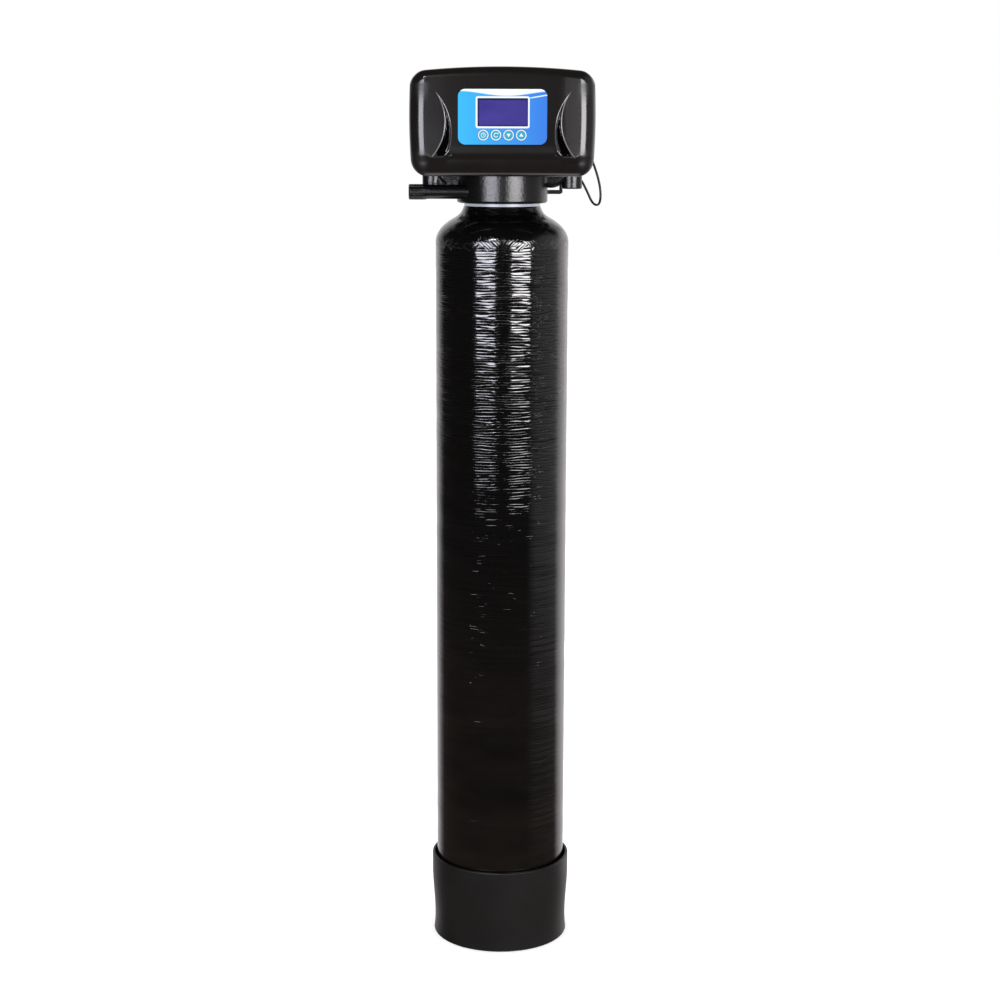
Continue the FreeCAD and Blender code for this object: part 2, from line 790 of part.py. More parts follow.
def motor_pinion():
    pinion = gear_blank(pinion_teeth, math.pi + math.pi / pinion_teeth, gear_distance, valve_axis,
                        gear_front, gear_back + 2)
    return pinion.cut(rod_y(motor_shaft_diameter / 2 + running_gap, gear_front - 1, gear_back + 3,
                            gear_distance, valve_axis))


def motor_shaft():
    return rod_y(motor_shaft_diameter / 2, gear_front, plate_back + motor_shaft_depth - face_gap,
                 gear_distance, valve_axis)


def motor():
    """Geared motor: can, gearbox boss with an off-centre shaft hole, two ears and its tags."""
    can = rod_y(motor_diameter / 2, plate_back, plate_back + motor_length, motor_x, valve_axis)
    back = [e for e in can.Edges if len(e.Vertexes) == 1 and e.CenterOfMass.y > plate_back + 1]
    can = can.makeFillet(motor_round, back)
    half = motor_screw_spacing / 2
    ear_half = motor_ear_width / 2
    ear_back = plate_back + motor_ear_thickness
    ear = box(motor_x - ear_half, motor_x + ear_half, plate_back, ear_back, valve_axis - half,
              valve_axis + half)
    body = can.fuse(ear)
    for side in (-1, 1):
        z = valve_axis + side * half
        body = body.fuse(rod_y(ear_half, plate_back, ear_back, motor_x, z))
        body = body.cut(rod_y(motor_screw_hole / 2, plate_back - 1, ear_back + 1, motor_x, z))
    body = body.fuse(rod_y(motor_boss_diameter / 2, plate_front, plate_back, gear_distance, valve_axis))
    body = body.cut(rod_y(motor_shaft_diameter / 2 + running_gap, plate_front - 1,
                          plate_back + motor_shaft_depth, gear_distance, valve_axis))
    for side in (-1, 1):
        x = motor_x + side * motor_tag_spacing / 2
        tag_front = plate_back + motor_length
        body = body.fuse(box(x - 1.5, x + 1.5, tag_front, tag_front + motor_tag_length,
                             valve_axis - 0.4, valve_axis + 0.4))
    return body


def mount_plate():
    """Plate behind the gears: it carries the motor, the sensing board's posts and the covers."""
    plate = box(-plate_half_width, plate_half_width, plate_front, plate_back, valve_axis + plate_bottom,
                valve_axis + plate_top)
    corners = [e for e in plate.Edges if abs(e.tangentAt(e.FirstParameter).y) > 0.9]
    plate = plate.makeFillet(plate_corner_round, corners)
    plate = plate.cut(rod_y(nut_diameter / 2 + seat_gap, plate_front - 1, plate_back + 1, 0, valve_axis))
    plate = plate.cut(rod_y(motor_boss_diameter / 2 + slip_gap, plate_front - 1, plate_back + 1,
                            gear_distance, valve_axis))
    for x, z in lugs + posts:
        plate = plate.cut(rod_y(2.2, plate_front - 1, plate_back + 1, x, z))
    for side in (-1, 1):
        plate = plate.cut(rod_y(motor_screw_hole / 2, plate_front - 1, plate_back + 1, motor_x,
                                valve_axis + side * motor_screw_spacing / 2))
    for x, z in sensing_posts:
        post = rod_y(sensing_post_diameter / 2, sensing_back, plate_front, x, z)
        plate = plate.fuse(post).cut(rod_y(1.3, sensing_back - 1, sensing_back + 10, x, z))
    return plate


def position_board():
    """Sensing board in front of the main gear."""
    y0 = sensing_back - board_thickness
    board = box(-sensing_left, sensing_right, y0, sensing_back, valve_axis - sensing_below,
                valve_axis + sensing_above)
    corners = [e for e in board.Edges if abs(e.tangentAt(e.FirstParameter).y) > 0.9]
    board = board.makeFillet(4, corners)
    board = board.cut(rod_y(11, y0 - 1, sensing_back + 1, 0, valve_axis))
    for x, z in sensing_posts:
        board = board.cut(rod_y(1.6, y0 - 1, sensing_back + 1, x, z))
    for a in (60, 150, 240, 330):
        x = magnet_circle / 2 * math.cos(math.radians(a))
        z = valve_axis + magnet_circle / 2 * math.sin(math.radians(a))
        board = board.fuse(box(x - 2, x + 2, sensing_back, sensing_back + 1.5, z - 1.5, z + 1.5))
    board = board.fuse(box(-8, 8, y0 - 5, y0, valve_axis - 38, valve_axis - 31))
    return board


def pan_screw(x, z, y_head, y_tip, shank, head, head_height):
    """Screw along Y with its head at y_head; the shank runs on to y_tip."""
    step = 1 if y_tip > y_head else -1
    y_under = y_head + step * head_height
    body = rod_y(head, min(y_head, y_under), max(y_head, y_under), x, z)
    body = body.fuse(rod_y(shank, min(y_under, y_tip), max(y_under, y_tip), x, z))
    depth = head_height * 0.6
    y0 = min(y_head, y_head + step * depth) - (0.5 if step > 0 else 0)
    slot = box(x - head * 0.6, x + head * 0.6, y0, y0 + depth + 0.5, z - 0.4, z + 0.4)
    cross = box(x - 0.4, x + 0.4, y0, y0 + depth + 0.5, z - head * 0.6, z + head * 0.6)
    return body.cut(slot).cut(cross)


def screw_set(places, y_head, y_tip, shank, head, head_height):
    return Part.makeCompound([pan_screw(x, z, y_head, y_tip, shank, head, head_height)
                              for x, z in places])


def head_block(inset, y0, y1):
    """Rounded head outline, inset all round, from y0 to y1 with rounded corners along Y."""
    z0 = tank_height + head_bottom + inset
    z1 = tank_height + head_shoulder - inset
    low = head_half_width - head_bottom_taper - inset
    top = head_half_width - head_top_taper - inset
    mid = head_half_width - inset
    zm = tank_height + head_side_mid
    crown = tank_height + head_crown - inset
    wire = Part.Wire([line((-low, y0, z0), (low, y0, z0)),
                      arc((low, y0, z0), (mid, y0, zm), (top, y0, z1)),
                      arc((top, y0, z1), (0, y0, crown), (-top, y0, z1)),
                      arc((-top, y0, z1), (-mid, y0, zm), (-low, y0, z0))])
    block = Part.Face(wire).extrude(V(0, y1 - y0, 0))
    along = [e for e in block.Edges if len(e.Vertexes) == 2
             and abs(e.Vertexes[0].Y - e.Vertexes[1].Y) > 1]
    upper = [e for e in along if e.CenterOfMass.z > zm]
    lower = [e for e in along if e.CenterOfMass.z < zm]
    block = block.makeFillet(top_corner_round - inset, upper)
    lower = [e for e in block.Edges if abs(e.CenterOfMass.z - z0) < 0.5 and len(e.Vertexes) == 2
             and abs(e.Vertexes[0].Y - e.Vertexes[1].Y) > 1]
    return block.makeFillet(bottom_corner_round - inset, lower)


def rounded_face(block, y, radius):
    """Round the edges that lie in the face at y."""
    edges = [e for e in block.Edges
             if all(abs(v.Y - y) < 0.01 for v in e.Vertexes) and abs(e.CenterOfMass.y - y) < 0.01]
    return block.makeFillet(radius, edges)


def crescent(side, grow, y0, y1):
    """One of the two moulded crescents that flank the middle of the face."""
    def at(x, z):
        return (side * x, y0, tank_height + z)
    tip = at(crescent_tip[0] + grow, crescent_tip[1] + grow)
    outer_mid = at(crescent_outer_middle[0] + grow, crescent_outer_middle[1])
    outer_low = at(crescent_outer_low[0] + grow, crescent_outer_low[1] - grow)
    inner_low = at(crescent_inner_low[0] - grow, crescent_inner_low[1] - grow)
    inner_mid = at(crescent_inner_middle[0] - grow, crescent_inner_middle[1])
    wire = Part.Wire([arc(tip, outer_mid, outer_low), line(outer_low, inner_low),
                      arc(inner_low, inner_mid, tip)])
    return Part.Face(wire).extrude(V(0, y1 - y0, 0))


def label_block(y0, y1, shrink=0.0):
    half = label_width / 2 - shrink
    plate = box(label_offset - half, label_offset + half, y0, y1, label_z - label_height / 2 + shrink,
                label_z + label_height / 2 - shrink)
    corners = [e for e in plate.Edges if abs(e.tangentAt(e.FirstParameter).y) > 0.9]
    return plate.makeFillet(label_round - shrink, corners)


def screen_block(y0, y1, grow=0.0):
    return box(panel_offset - screen_width / 2 - grow, panel_offset + screen_width / 2 + grow, y0, y1,
               screen_z - screen_height / 2 - grow, screen_z + screen_height / 2 + grow)


def front_cover():
    outer = rounded_face(head_block(0.0, head_front, head_seam), head_front, front_edge_round)
    inner = rounded_face(head_block(head_wall, wall_inside, head_seam + 1), wall_inside,
                         front_edge_round - head_wall)
    cover = outer.cut(inner)
    for side in (-1, 1):
        backing = crescent(side, head_wall, wall_inside - 0.5, wall_inside + recess_depth)
        cover = cover.fuse(backing).cut(crescent(side, 0.0, head_front - 1, head_front + recess_depth))
    notch = rod_z(collar_diameter / 2 + 0.8, tank_height, tank_height + collar_height + 4)
    cover = cover.cut(notch.common(box(-60, 60, -60, head_seam + 1, tank_height,
                                       tank_height + head_bottom + head_wall + 1)))
    for x, z in posts:
        post = rod_y(post_diameter / 2, wall_inside - 0.5, plate_front, x, z)
        cover = cover.fuse(post.common(outer))
        cover = cover.cut(rod_y(post_pilot_diameter / 2, plate_front - post_pilot_depth, plate_front + 1,
                                x, z))
    for x, z in board_posts:
        cover = cover.fuse(rod_y(board_post_diameter / 2, wall_inside - 0.5, board_front, x, z))
        cover = cover.cut(rod_y(1.2, board_front - 6, board_front + 1, x, z))
    cover = cover.cut(screen_block(head_front - 1, wall_inside + 1, 0.8))
    for x in key_places:
        cover = cover.cut(rod_y(key_diameter / 2 + seat_gap, head_front - 1, wall_inside + 1, x, key_z))
    return cover.removeSplitter()


def rear_cover():
    outer = rounded_face(head_block(rear_step, head_seam, head_back), head_back, rear_edge_round)
    inner = rounded_face(head_block(rear_step + head_wall, head_seam - 1, head_back - head_wall),
                         head_back - head_wall, rear_edge_round - head_wall)
    cover = outer.cut(inner)
    lip = head_block(head_wall + 0.2, head_seam - 4, head_seam + 3).cut(
        head_block(head_wall + 0.2 + 2.4, head_seam - 5, head_seam + 4))
    cover = cover.fuse(lip)
    cover = cover.cut(box(-tank_diameter, tank_diameter, head_seam - 6, head_back + 1, tank_height,
                          tank_height + rear_skirt_bottom))
    for side in (-1, 1):
        x = side * port_x
        cover = cover.cut(rod_z(tower_diameter / 2 + 1.0, tower_low, tower_low + tower_height + 1,
                                side * tower_x, tower_depth))
        cover = cover.cut(rod_y(port_diameter / 2 + 1.0, head_seam, head_back + 1, x, port_z))
        cover = cover.cut(box(x - port_diameter / 2 - 1, x + port_diameter / 2 + 1, 20, head_back + 1,
                              tank_height, port_z))
    for x, z in posts:
        post = rod_y(post_diameter / 2, plate_back, head_back - head_wall + 0.5, x, z)
        cover = cover.fuse(post).cut(rod_y(2.2, plate_back - 1, head_back + 1, x, z))
        cover = cover.cut(rod_y(3.9, head_back - 4, head_back + 1, x, z))
    for side, diameter in ((1, gland_diameter), (-1, power_gland_diameter)):
        cover = cover.cut(rod_y(diameter / 2 - gland_neck_wall + slip_gap, head_back - 16, head_back + 1,
                                side * gland_x, gland_z))
    for i in range(vent_count):
        z = tank_height + vent_low + vent_pitch * i
        cover = cover.cut(box(-vent_half_width, vent_half_width, head_back - 6, head_back + 1, z,
                              z + vent_height))
    return cover.removeSplitter()


def gland(x, z, diameter, bore):
    """Grommet through the rear cover's wall, with a flange on each side."""
    inner_face = head_back - head_wall - 2
    waist = ring_y(diameter / 2 - gland_neck_wall, bore / 2, inner_face, head_back + gland_reach, x, z)
    out = ring_y(diameter / 2 + 0.8, bore / 2, head_back, head_back + gland_reach, x, z)
    inside = ring_y(diameter / 2 + 0.3, bore / 2, inner_face, head_back - head_wall, x, z)
    return waist.fuse(out).fuse(inside).removeSplitter()


def display_overlay():
    film = label_block(head_front - label_thickness, head_front)
    film = film.cut(screen_block(head_front - 1, head_front + 1, seat_gap))
    for x in key_places:
        film = film.cut(rod_y(key_diameter / 2 + seat_gap, head_front - 1, head_front + 1, x, key_z))
    return film


def display_window():
    return screen_block(head_front - label_thickness, wall_inside)


def display_module():
    return box(panel_offset - lcd_frame_width / 2, panel_offset + lcd_frame_width / 2,
               wall_inside + face_gap, board_front, screen_z - lcd_frame_height / 2,
               screen_z + lcd_frame_height / 2)


def key(x):
    """Round key: cap in the overlay's hole, retaining flange behind the wall and a stem."""
    flange_back = wall_inside + face_gap + key_flange_thickness
    cap = rod_y(key_diameter / 2, head_front - label_thickness - key_proud, flange_back, x, key_z)
    face = [e for e in cap.Edges if len(e.Vertexes) == 1 and e.CenterOfMass.y < head_front]
    cap = cap.makeFillet(key_edge_round, face)
    flange = rod_y(key_diameter / 2 + key_flange, wall_inside + face_gap, flange_back, x, key_z)
    stem = rod_y(key_stem_diameter / 2, flange_back, switch_top - key_travel - face_gap, x, key_z)
    return cap.fuse(flange).fuse(stem)


def tact_switches():
    switches = []
    for x in key_places:
        half = switch_body_width / 2
        front = board_front - switch_body_height
        body = box(x - half, x + half, front, board_front, key_z - half, key_z + half)
        switches.append(body.fuse(rod_y(1.6, switch_top, front, x, key_z)))
    return Part.makeCompound(switches)


def control_board():
    """Main circuit board with its larger parts."""
    left = panel_offset - board_width / 2
    low = label_z - board_height / 2
    board = box(left, left + board_width, board_front, board_back, low, low + board_height)
    for x, z in board_posts:
        board = board.cut(rod_y(1.5, board_front - 1, board_back + 1, x, z))
    chip = box(panel_offset - 14, panel_offset + 2, board_back, board_back + 2, label_z - 4, label_z + 12)
    cell = rod_y(10, board_back, board_back + 3.2, panel_offset + 24, label_z + 6)
    side = left + board_part_margin
    terminal = box(side, side + 22, board_back, board_back + 7, low + 4, low + 12)
    relay = box(side + 2, side + 14, board_back, board_back + 8, label_z + 4, label_z + 20)
    for piece in (chip, cell, terminal, relay):
        board = board.fuse(piece)
    return board


def drain_nut():
    """Lobed nut that clamps the drain hose on its fitting."""
    x0 = -drain_reach - drain_nut_length
    radius = drain_nut_diameter / 2
    nut = rod_x(radius, x0, -drain_reach, drain_front, drain_z)
    rims = [e for e in nut.Edges if len(e.Vertexes) == 1]
    nut = nut.makeChamfer(0.7, rims)
    nut = nut.cut(rod_x(fitting_diameter / 2 + slip_gap, x0 - 1, -drain_reach + 1, drain_front, drain_z))
    for i in range(drain_nut_lobes):
        a = 2 * math.pi * (i + 0.5) / drain_nut_lobes
        nut = nut.cut(rod_x(drain_groove_radius, x0 - 1, -drain_reach - drain_nut_band,
                            drain_front + (radius + 0.5) * math.cos(a),
                            drain_z + (radius + 0.5) * math.sin(a)))
    return nut


def drain_fitting():
    """Hose fitting inside the nut, plugged into the drain branch."""
    x0 = -drain_reach - drain_nut_length
    plug_end = -drain_reach + drain_plug
    body = rod_x(fitting_diameter / 2, x0 + 1.5, -drain_reach, drain_front, drain_z)
    body = body.fuse(rod_x(drain_bore_diameter / 2 - running_gap, -drain_reach - 1, plug_end,
                           drain_front, drain_z))
    return body.cut(rod_x(hose_bore_diameter / 2, x0 - 1, plug_end + 1, drain_front, drain_z))


def flow_control():
    """Rubber flow button in the drain branch, behind the hose fitting."""
    x0 = -drain_reach + drain_plug + face_gap
    button = rod_x(drain_bore_diameter / 2 - running_gap, x0, x0 + 4, drain_front, drain_z)
    return button.cut(rod_x(1.6, x0 - 1, x0 + 5, drain_front, drain_z))


def injector_cover():
    left = -injector_offset - injector_width / 2
    plate = box(left, left + injector_width, injector_cover_front, injector_front, injector_low,
                injector_low + injector_height)
    corners = [e for e in plate.Edges if abs(e.tangentAt(e.FirstParameter).y) > 0.9]
    return plate.makeFillet(1.5, corners)


def injector_screws():
    z = injector_low + injector_height / 2
    places = [(-injector_offset + side * injector_screw_spacing / 2, z) for side in (-1, 1)]
    head_front_y = injector_cover_front - injector_screw_head
    return Part.makeCompound([rod_y(injector_screw_diameter / 2, head_front_y, injector_cover_front, x, z)
                              for x, z in places])


def turbine_support():
    """Cross in the outlet that holds the turbine's pin."""
    x, y0 = port_x, port_back - connector_insert + 7
    bore = pipe_bore_diameter / 2
    ring = ring_y(bore - running_gap, bore - 1.2, y0, y0 + 3, x, port_z)
    hub = rod_y(3, y0, y0 + 3, x, port_z)
    reach = bore - 0.8
    spokes = box(x - reach, x + reach, y0, y0 + 3, port_z - 0.8, port_z + 0.8)
    spokes = spokes.fuse(box(x - 0.8, x + 0.8, y0, y0 + 3, port_z - reach, port_z + reach))
    pin = rod_y(turbine_pin_diameter / 2, y0 + 2, y0 + 5 + turbine_length, x, port_z)
    head = rod_y(2.4, y0 + 3.6 + turbine_length, y0 + 5 + turbine_length, x, port_z)
    return ring.fuse(hub).fuse(spokes).fuse(pin).fuse(head)


def flow_turbine():
    x, y0 = port_x, port_back - connector_insert + 10.3
    y1 = y0 + turbine_length
    body = rod_y(turbine_hub_diameter / 2, y0, y1, x, port_z)
    for i in range(turbine_blades):
        blade = box(x, x + turbine_diameter / 2, y0 + 0.5, y1 - 0.5, port_z - 0.5, port_z + 0.5)
        blade.rotate(V(x, (y0 + y1) / 2, port_z), V(1, 0, 0), 25)
        blade.rotate(V(x, 0, port_z), V(0, 1, 0), 360.0 * i / turbine_blades)
        body = body.fuse(blade)
    body = body.common(rod_y(turbine_diameter / 2, y0, y1, x, port_z))
    return body.cut(rod_y(turbine_pin_diameter / 2 + running_gap, y0 - 1, y1 + 1, x, port_z))


def flow_probe():
    """Turbine sensor plugged into the right tower from behind."""
    tip = rod_y(probe_diameter / 2, tower_depth + 6, tower_depth + 13, probe_x, probe_z)
    cap = rod_y(probe_cap_diameter / 2, tower_depth + 12.4, probe_end - 3, probe_x, probe_z)
    relief = rod_y(lead_diameter / 2 + 1.2, probe_end - 4, probe_end, probe_x, probe_z)
    body = tip.fuse(cap).fuse(relief)
    return body.cut(rod_y(lead_diameter / 2 + running_gap, probe_end - 2.5, probe_end + 1, probe_x,
                          probe_z))


# The sensor's lead leaves the rear cover at the gland, hangs in a loop beside the head and comes
# back up to the probe. Both ends go into the object.
lead_points = [(gland_x, head_back - 1.0, gland_z), (gland_x, 66.0, gland_z), (97.5, 69.0, 957.0),
               (110.0, 68.5, 929.0), (117.5, 68.0, 903.0), (117.0, 67.0, 883.3), (107.5, 50.0, 884.0),
               (99.5, 50.5, 902.0), (91.0, 46.5, 917.0), (probe_x, 37.0, probe_z),
               (probe_x, probe_end - 2.0, probe_z)]


def cord_path(points):
    """Straight runs joined by tangent arcs; prints the radius of each arc."""
    corners = [V(*p) for p in points]
    edges = []
    start = corners[0]
    length = 0.0
    radii = []
    for before, here, after in zip(corners, corners[1:], corners[2:]):
        run_in = (here - before)
        run_out = (after - here)
        u = V(run_in).normalize()
        w = V(run_out).normalize()
        turn = math.acos(max(-1.0, min(1.0, u.dot(w))))
        reach = 0.45 * min(run_in.Length, run_out.Length)
        radius = reach / math.tan(turn / 2)
        first = here - u * reach
        last = here + w * reach
        inward = (w - u).normalize()
        centre = here + inward * (radius / math.cos(turn / 2))
        middle = centre - inward * radius
        edges.append(Part.LineSegment(start, first).toShape())
        edges.append(Part.Arc(first, middle, last).toShape())
        length += (first - start).Length + radius * turn
        radii.append(round(radius, 1))
        start = last
    edges.append(Part.LineSegment(start, corners[-1]).toShape())
    length += (corners[-1] - start).Length
    print("lead arc radii mm", radii, "length mm", round(length, 1))
    return Part.Wire(edges), length


def sensor_lead():
    path, length = cord_path(lead_points)
    first, second = V(*lead_points[0]), V(*lead_points[1])
    ring = Part.makeCircle(lead_diameter / 2, first, second - first)
    tube = path.makePipeShell([Part.Wire([ring])], True, False)
    section = math.pi * (lead_diameter / 2) ** 2
    print("lead volume ratio", round(tube.Volume / (section * length), 4))
    return tube


def write(name, shape):
    solids = shape.Solids
    if not solids or not shape.isValid():
        print("PROBLEM", name, len(solids), shape.isValid())
    shape.exportStep("parts/%s.step" % name)
    size = shape.optimalBoundingBox()
    corners = (size.XMin, size.XMax, size.YMin, size.YMax, size.ZMin, size.ZMax)
    print("%-20s solids %2d volume %9.0f  x %7.1f %7.1f  y %7.1f %7.1f  z %7.1f %7.1f" % (
        (name, len(solids), shape.Volume) + corners))


def build():
    os.makedirs("parts", exist_ok=True)
    write("base_boot", boot())
    write("tank_shell", tank_shell())
    write("tank_liner", tank_liner())
    write("neck_insert", neck_insert())
    write("gravel_bed", bed(tank_floor_gap, gravel_top))
    write("carbon_bed", bed(gravel_top + seat_gap, carbon_top))
    write("riser_tube", riser_tube())
    write("bottom_strainer", bottom_strainer())
    write("top_strainer", top_strainer())
    valve = whole_valve()
    left_side = side_region(-1)
    right_side = side_region(1)
    write("valve_body", valve.cut(left_side).cut(right_side))
    write("inlet_branch", valve.common(left_side))
    write("outlet_branch", valve.common(right_side))
    write("neck_seal", Part.makeTorus(opening_radius - neck_seal_wire / 2 - running_gap,
                                      neck_seal_wire / 2, V(0, 0, neck_seal_z), V(0, 0, 1)))
    write("disc_seal", disc(disc_diameter / 2 - 0.5, seal_front, seal_back, 90))
    write("fixed_disc", disc(disc_diameter / 2, fixed_front, seal_front, 90))
    write("moving_disc", disc(moving_disc_diameter / 2, moving_front, moving_back, 90))
    write("drive_shaft", drive_shaft())
    write("thrust_washer", ring_y(moving_disc_diameter / 2 - 6, shaft_diameter / 2 + seat_gap,
                                  washer_front, carrier_front - face_gap, 0, valve_axis))
    write("shaft_seal", Part.makeTorus(shaft_diameter / 2 + 1.0, 0.9,
                                       V(0, chamber_front + 0.25, valve_axis), V(0, 1, 0)))
    write("fitting_nut", fitting_nut())
    write("main_gear", main_gear())
    write("position_magnet", magnet_solid(0.0))
    write("gear_screw", pan_screw(0, valve_axis, gear_front - 4, shaft_tip + gear_screw_depth,
                                  gear_screw_diameter / 2 - running_gap, 8.0, 4.0))
    write("mount_plate", mount_plate())
    write("plate_screws", screw_set(lugs, plate_front - plate_screw_head, plate_front + plate_screw_length,
                                    lug_hole_diameter / 2 - running_gap, 4.0, plate_screw_head))
    write("motor", motor())
    write("motor_shaft", motor_shaft())
    write("motor_pinion", motor_pinion())
    motor_screw_places = [(motor_x, valve_axis + s * motor_screw_spacing / 2) for s in (-1, 1)]
    write("motor_screws", screw_set(motor_screw_places, plate_front - 2.2, plate_back + 5, 1.6, 3.0, 2.2))
    write("position_board", position_board())
    sensing_head_front = sensing_back - board_thickness - sensing_screw_head
    write("sensing_screws", screw_set(sensing_posts, sensing_head_front,
                                      sensing_back + sensing_screw_depth, 1.25, 2.8, sensing_screw_head))
    write("control_board", control_board())
    write("board_screws", screw_set(board_posts, board_back + board_screw_head, board_front - 5, 1.15, 2.8,
                                    board_screw_head))
    write("display_module", display_module())
    write("tact_switches", tact_switches())
    write("front_cover", front_cover())
    write("rear_cover", rear_cover())
    write("cover_screws", screw_set(posts, head_back - cover_screw_sink, plate_front - post_pilot_depth + 2,
                                    post_pilot_diameter / 2 - running_gap, 3.6, cover_screw_head))
    write("display_overlay", display_overlay())
    write("display_window", display_window())
    for name, x in zip(("menu_key", "manual_key", "down_key", "up_key"), key_places):
        write(name, key(x))
    write("inlet_connector", connector(-port_x))
    write("outlet_connector", connector(port_x))
    write("inlet_clip", port_clip(-port_x))
    write("outlet_clip", port_clip(port_x))
    write("port_seals", port_seals())
    write("turbine_support", turbine_support())
    write("flow_turbine", flow_turbine())
    write("drain_branch", drain_branch())
    write("drain_fitting", drain_fitting())
    write("drain_nut", drain_nut())
    write("flow_control", flow_control())
    write("injector_cover", injector_cover())
    write("injector_screws", injector_screws())
    write("flow_probe", flow_probe())
    write("lead_gland", gland(gland_x, gland_z, gland_diameter, lead_diameter + 2 * running_gap))
    write("power_gland", gland(-gland_x, gland_z, power_gland_diameter, power_bore_diameter))
    write("sensor_lead", sensor_lead())


build()
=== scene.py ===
import bmesh
import bpy
import json
import math
import numpy as np
from mathutils import Matrix, Vector
from mathutils.geometry import delaunay_2d_cdt


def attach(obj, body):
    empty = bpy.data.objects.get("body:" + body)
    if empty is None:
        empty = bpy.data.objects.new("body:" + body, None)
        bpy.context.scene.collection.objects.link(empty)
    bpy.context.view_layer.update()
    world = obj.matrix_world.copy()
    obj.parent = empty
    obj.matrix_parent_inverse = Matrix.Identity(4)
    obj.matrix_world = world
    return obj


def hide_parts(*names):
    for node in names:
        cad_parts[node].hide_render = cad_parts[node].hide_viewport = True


# Looks of a backwashing carbon water filter: a wound pressure tank in a round boot with an
# automatic valve's control head. Sizes below are millimetres, and meshes are made in metres.
# The origin is on the floor under the tank's axis, +Z is up and the head's face looks along -Y.

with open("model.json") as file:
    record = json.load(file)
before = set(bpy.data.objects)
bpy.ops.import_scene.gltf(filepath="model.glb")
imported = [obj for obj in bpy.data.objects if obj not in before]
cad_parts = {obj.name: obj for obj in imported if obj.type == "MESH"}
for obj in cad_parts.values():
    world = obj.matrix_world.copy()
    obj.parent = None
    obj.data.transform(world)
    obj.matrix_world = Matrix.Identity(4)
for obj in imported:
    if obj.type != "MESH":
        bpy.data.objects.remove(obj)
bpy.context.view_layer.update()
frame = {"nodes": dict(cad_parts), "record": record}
nodes = frame["nodes"]
rng = np.random.default_rng(11)

MM = 0.001
BODY = "filter"

# Camera, in metres and radians
camera_place = (-0.00145, -2.306, 0.969)
camera_tilt = 0.185
camera_roll = 0.0030
camera_lens = 70.88

# Lead from the head to the flow probe: the route's points and its diameter
lead_points = [(84.0, 45.0, 986.0), (84.0, 66.0, 986.0), (97.5, 69.0, 957.0), (110.0, 68.5, 929.0),
               (117.5, 68.0, 903.0), (117.0, 67.0, 883.3), (107.5, 50.0, 884.0), (99.5, 50.5, 902.0),
               (91.0, 46.5, 917.0), (82.5, 37.0, 918.0), (82.5, 27.0, 918.0)]
lead_diameter = 2.8

# Tank
tank_radius = 77.0
tank_low = 12.0
tank_top = 884.0
dome_height = 38.5
dome_low_middle = 50.5
dome_high_middle = 843.2
dome_high_height = 39.9
neck_radius = 45.0
neck_start = 876.0
neck_flare = [(52.6, 872.6), (50.4, 874.2), (48.7, 875.9), (47.3, 877.8), (46.3, 879.7),
              (45.4, 881.6), (44.7, 883.4), (44.2, 884.6)]
shell_wall = 3.0
tank_columns = 152
boot_top = 99.7

# Winding: its unevenness is in pitches, its relief and the start of the crossing in millimetres
strand_pitch = 3.2
strand_wander = 2.6
strand_shake = 1.3
strand_lean = 0.24
strand_mean = 0.18
groove_width = 0.16
groove_depths = (0.04, 0.20)
ridge_rise = 0.26
slant_density = 0.72
crossing_height = 851.2
crossing_edge = 0.3
crossing_tatter = 24.0

# Head cover
cover_front = -79.0
cover_seam = -14.0
cover_wall = 2.5
cover_bottom = 919.5
cover_crown = 1040.2
crown_fall = 5.7
crown_reach = 102.6
side_curve = [(919.5, 101.5), (977.0, 104.5), (1034.5, 102.6)]
side_rounding = 17.0
top_rounding = 10.0
corner_extra = 5.0
low_rounding = 18.0
rounding_depth = 9.5
side_depth = 17.5
face_middle = (0.3, 983.0)
cover_columns = 800
face_rings = 76
rounding_rings = 18
side_rings = 9
wing_start = 60.0
wing_turn = 10.0
wing_slopes = (0.007, 0.073)
notch_radius = 53.3
crease_height = 946.6
wing_crease_height = 943.8
chin_step = 1.8
chin_run = 9.5

# Crescents: each lies between two circles, given by three points each, and ends at its foot
crescent_shift = 0.9
crescent_tip_height = 1014.5
crescent_outer = [(73.3, 1009.0), (65.4, 978.5), (78.1, 943.6)]
crescent_inner = [(68.9, 1004.6), (57.4, 972.0), (60.3, 948.0)]
foot_height = 941.2
foot_start = (60.0, 948.0)
foot_slope = 1.11
recess_depth = 2.4
outer_lip = (1.4, 3.0)
inner_lip = (1.1, 2.4)
wall_run = 0.8
# Widths of the painted highlight lines along the crescents' edges and of the painted highlight dash at
# their feet
outer_highlight_width = 1.1
inner_highlight_width = 0.9
foot_highlight_width = 1.0
quiet_width = 2.6
# Height of the painted lighter reflection band above the chin's crease
light_band_height = 949.0

# Label, window and keys. The wave's turn and the dots' density are radians per metre.
label_middle = (0.1, 985.0)
label_size = (99.0, 60.6)
label_round = 8.0
film_front = -79.5
wave_start = 22.4
wave_turn = 58.2
wave_rise = 2.6
wave_drop = 4.8
streak_start = 31.0
streak_slope = 0.17
streak_drop = 9.6
dot_density = 9000.0
screen_middle = (0.3, 990.0)
screen_size = (56.2, 31.0)
key_xs = [-21.3, -7.2, 6.9, 21.0]
key_z = 965.1
key_radius = 6.0
key_face = -79.8

# Threaded connectors
port_x = 56.0
port_z = 926.0
thread_radius = 16.6
thread_pitch = 2.309
thread_depth = 1.1
thread_start = 50.2
thread_end = 74.2
flange_start = 46.2
flange_radius = 19.5
insert_radius = 14.0
insert_start = 20.0
bore_radius = 10.0

# Studio, in metres and watts. Each softbox has its angle from the front, its power and its tint.
softboxes = [("softbox_left", -26.9, 22.5, (0.97, 0.96, 1.08)),
             ("softbox_right", 32.9, 29.0, (1.0, 0.98, 1.0))]
softbox_distance = 1.5
softbox_height = 0.935
softbox_size = (0.86, 0.44)

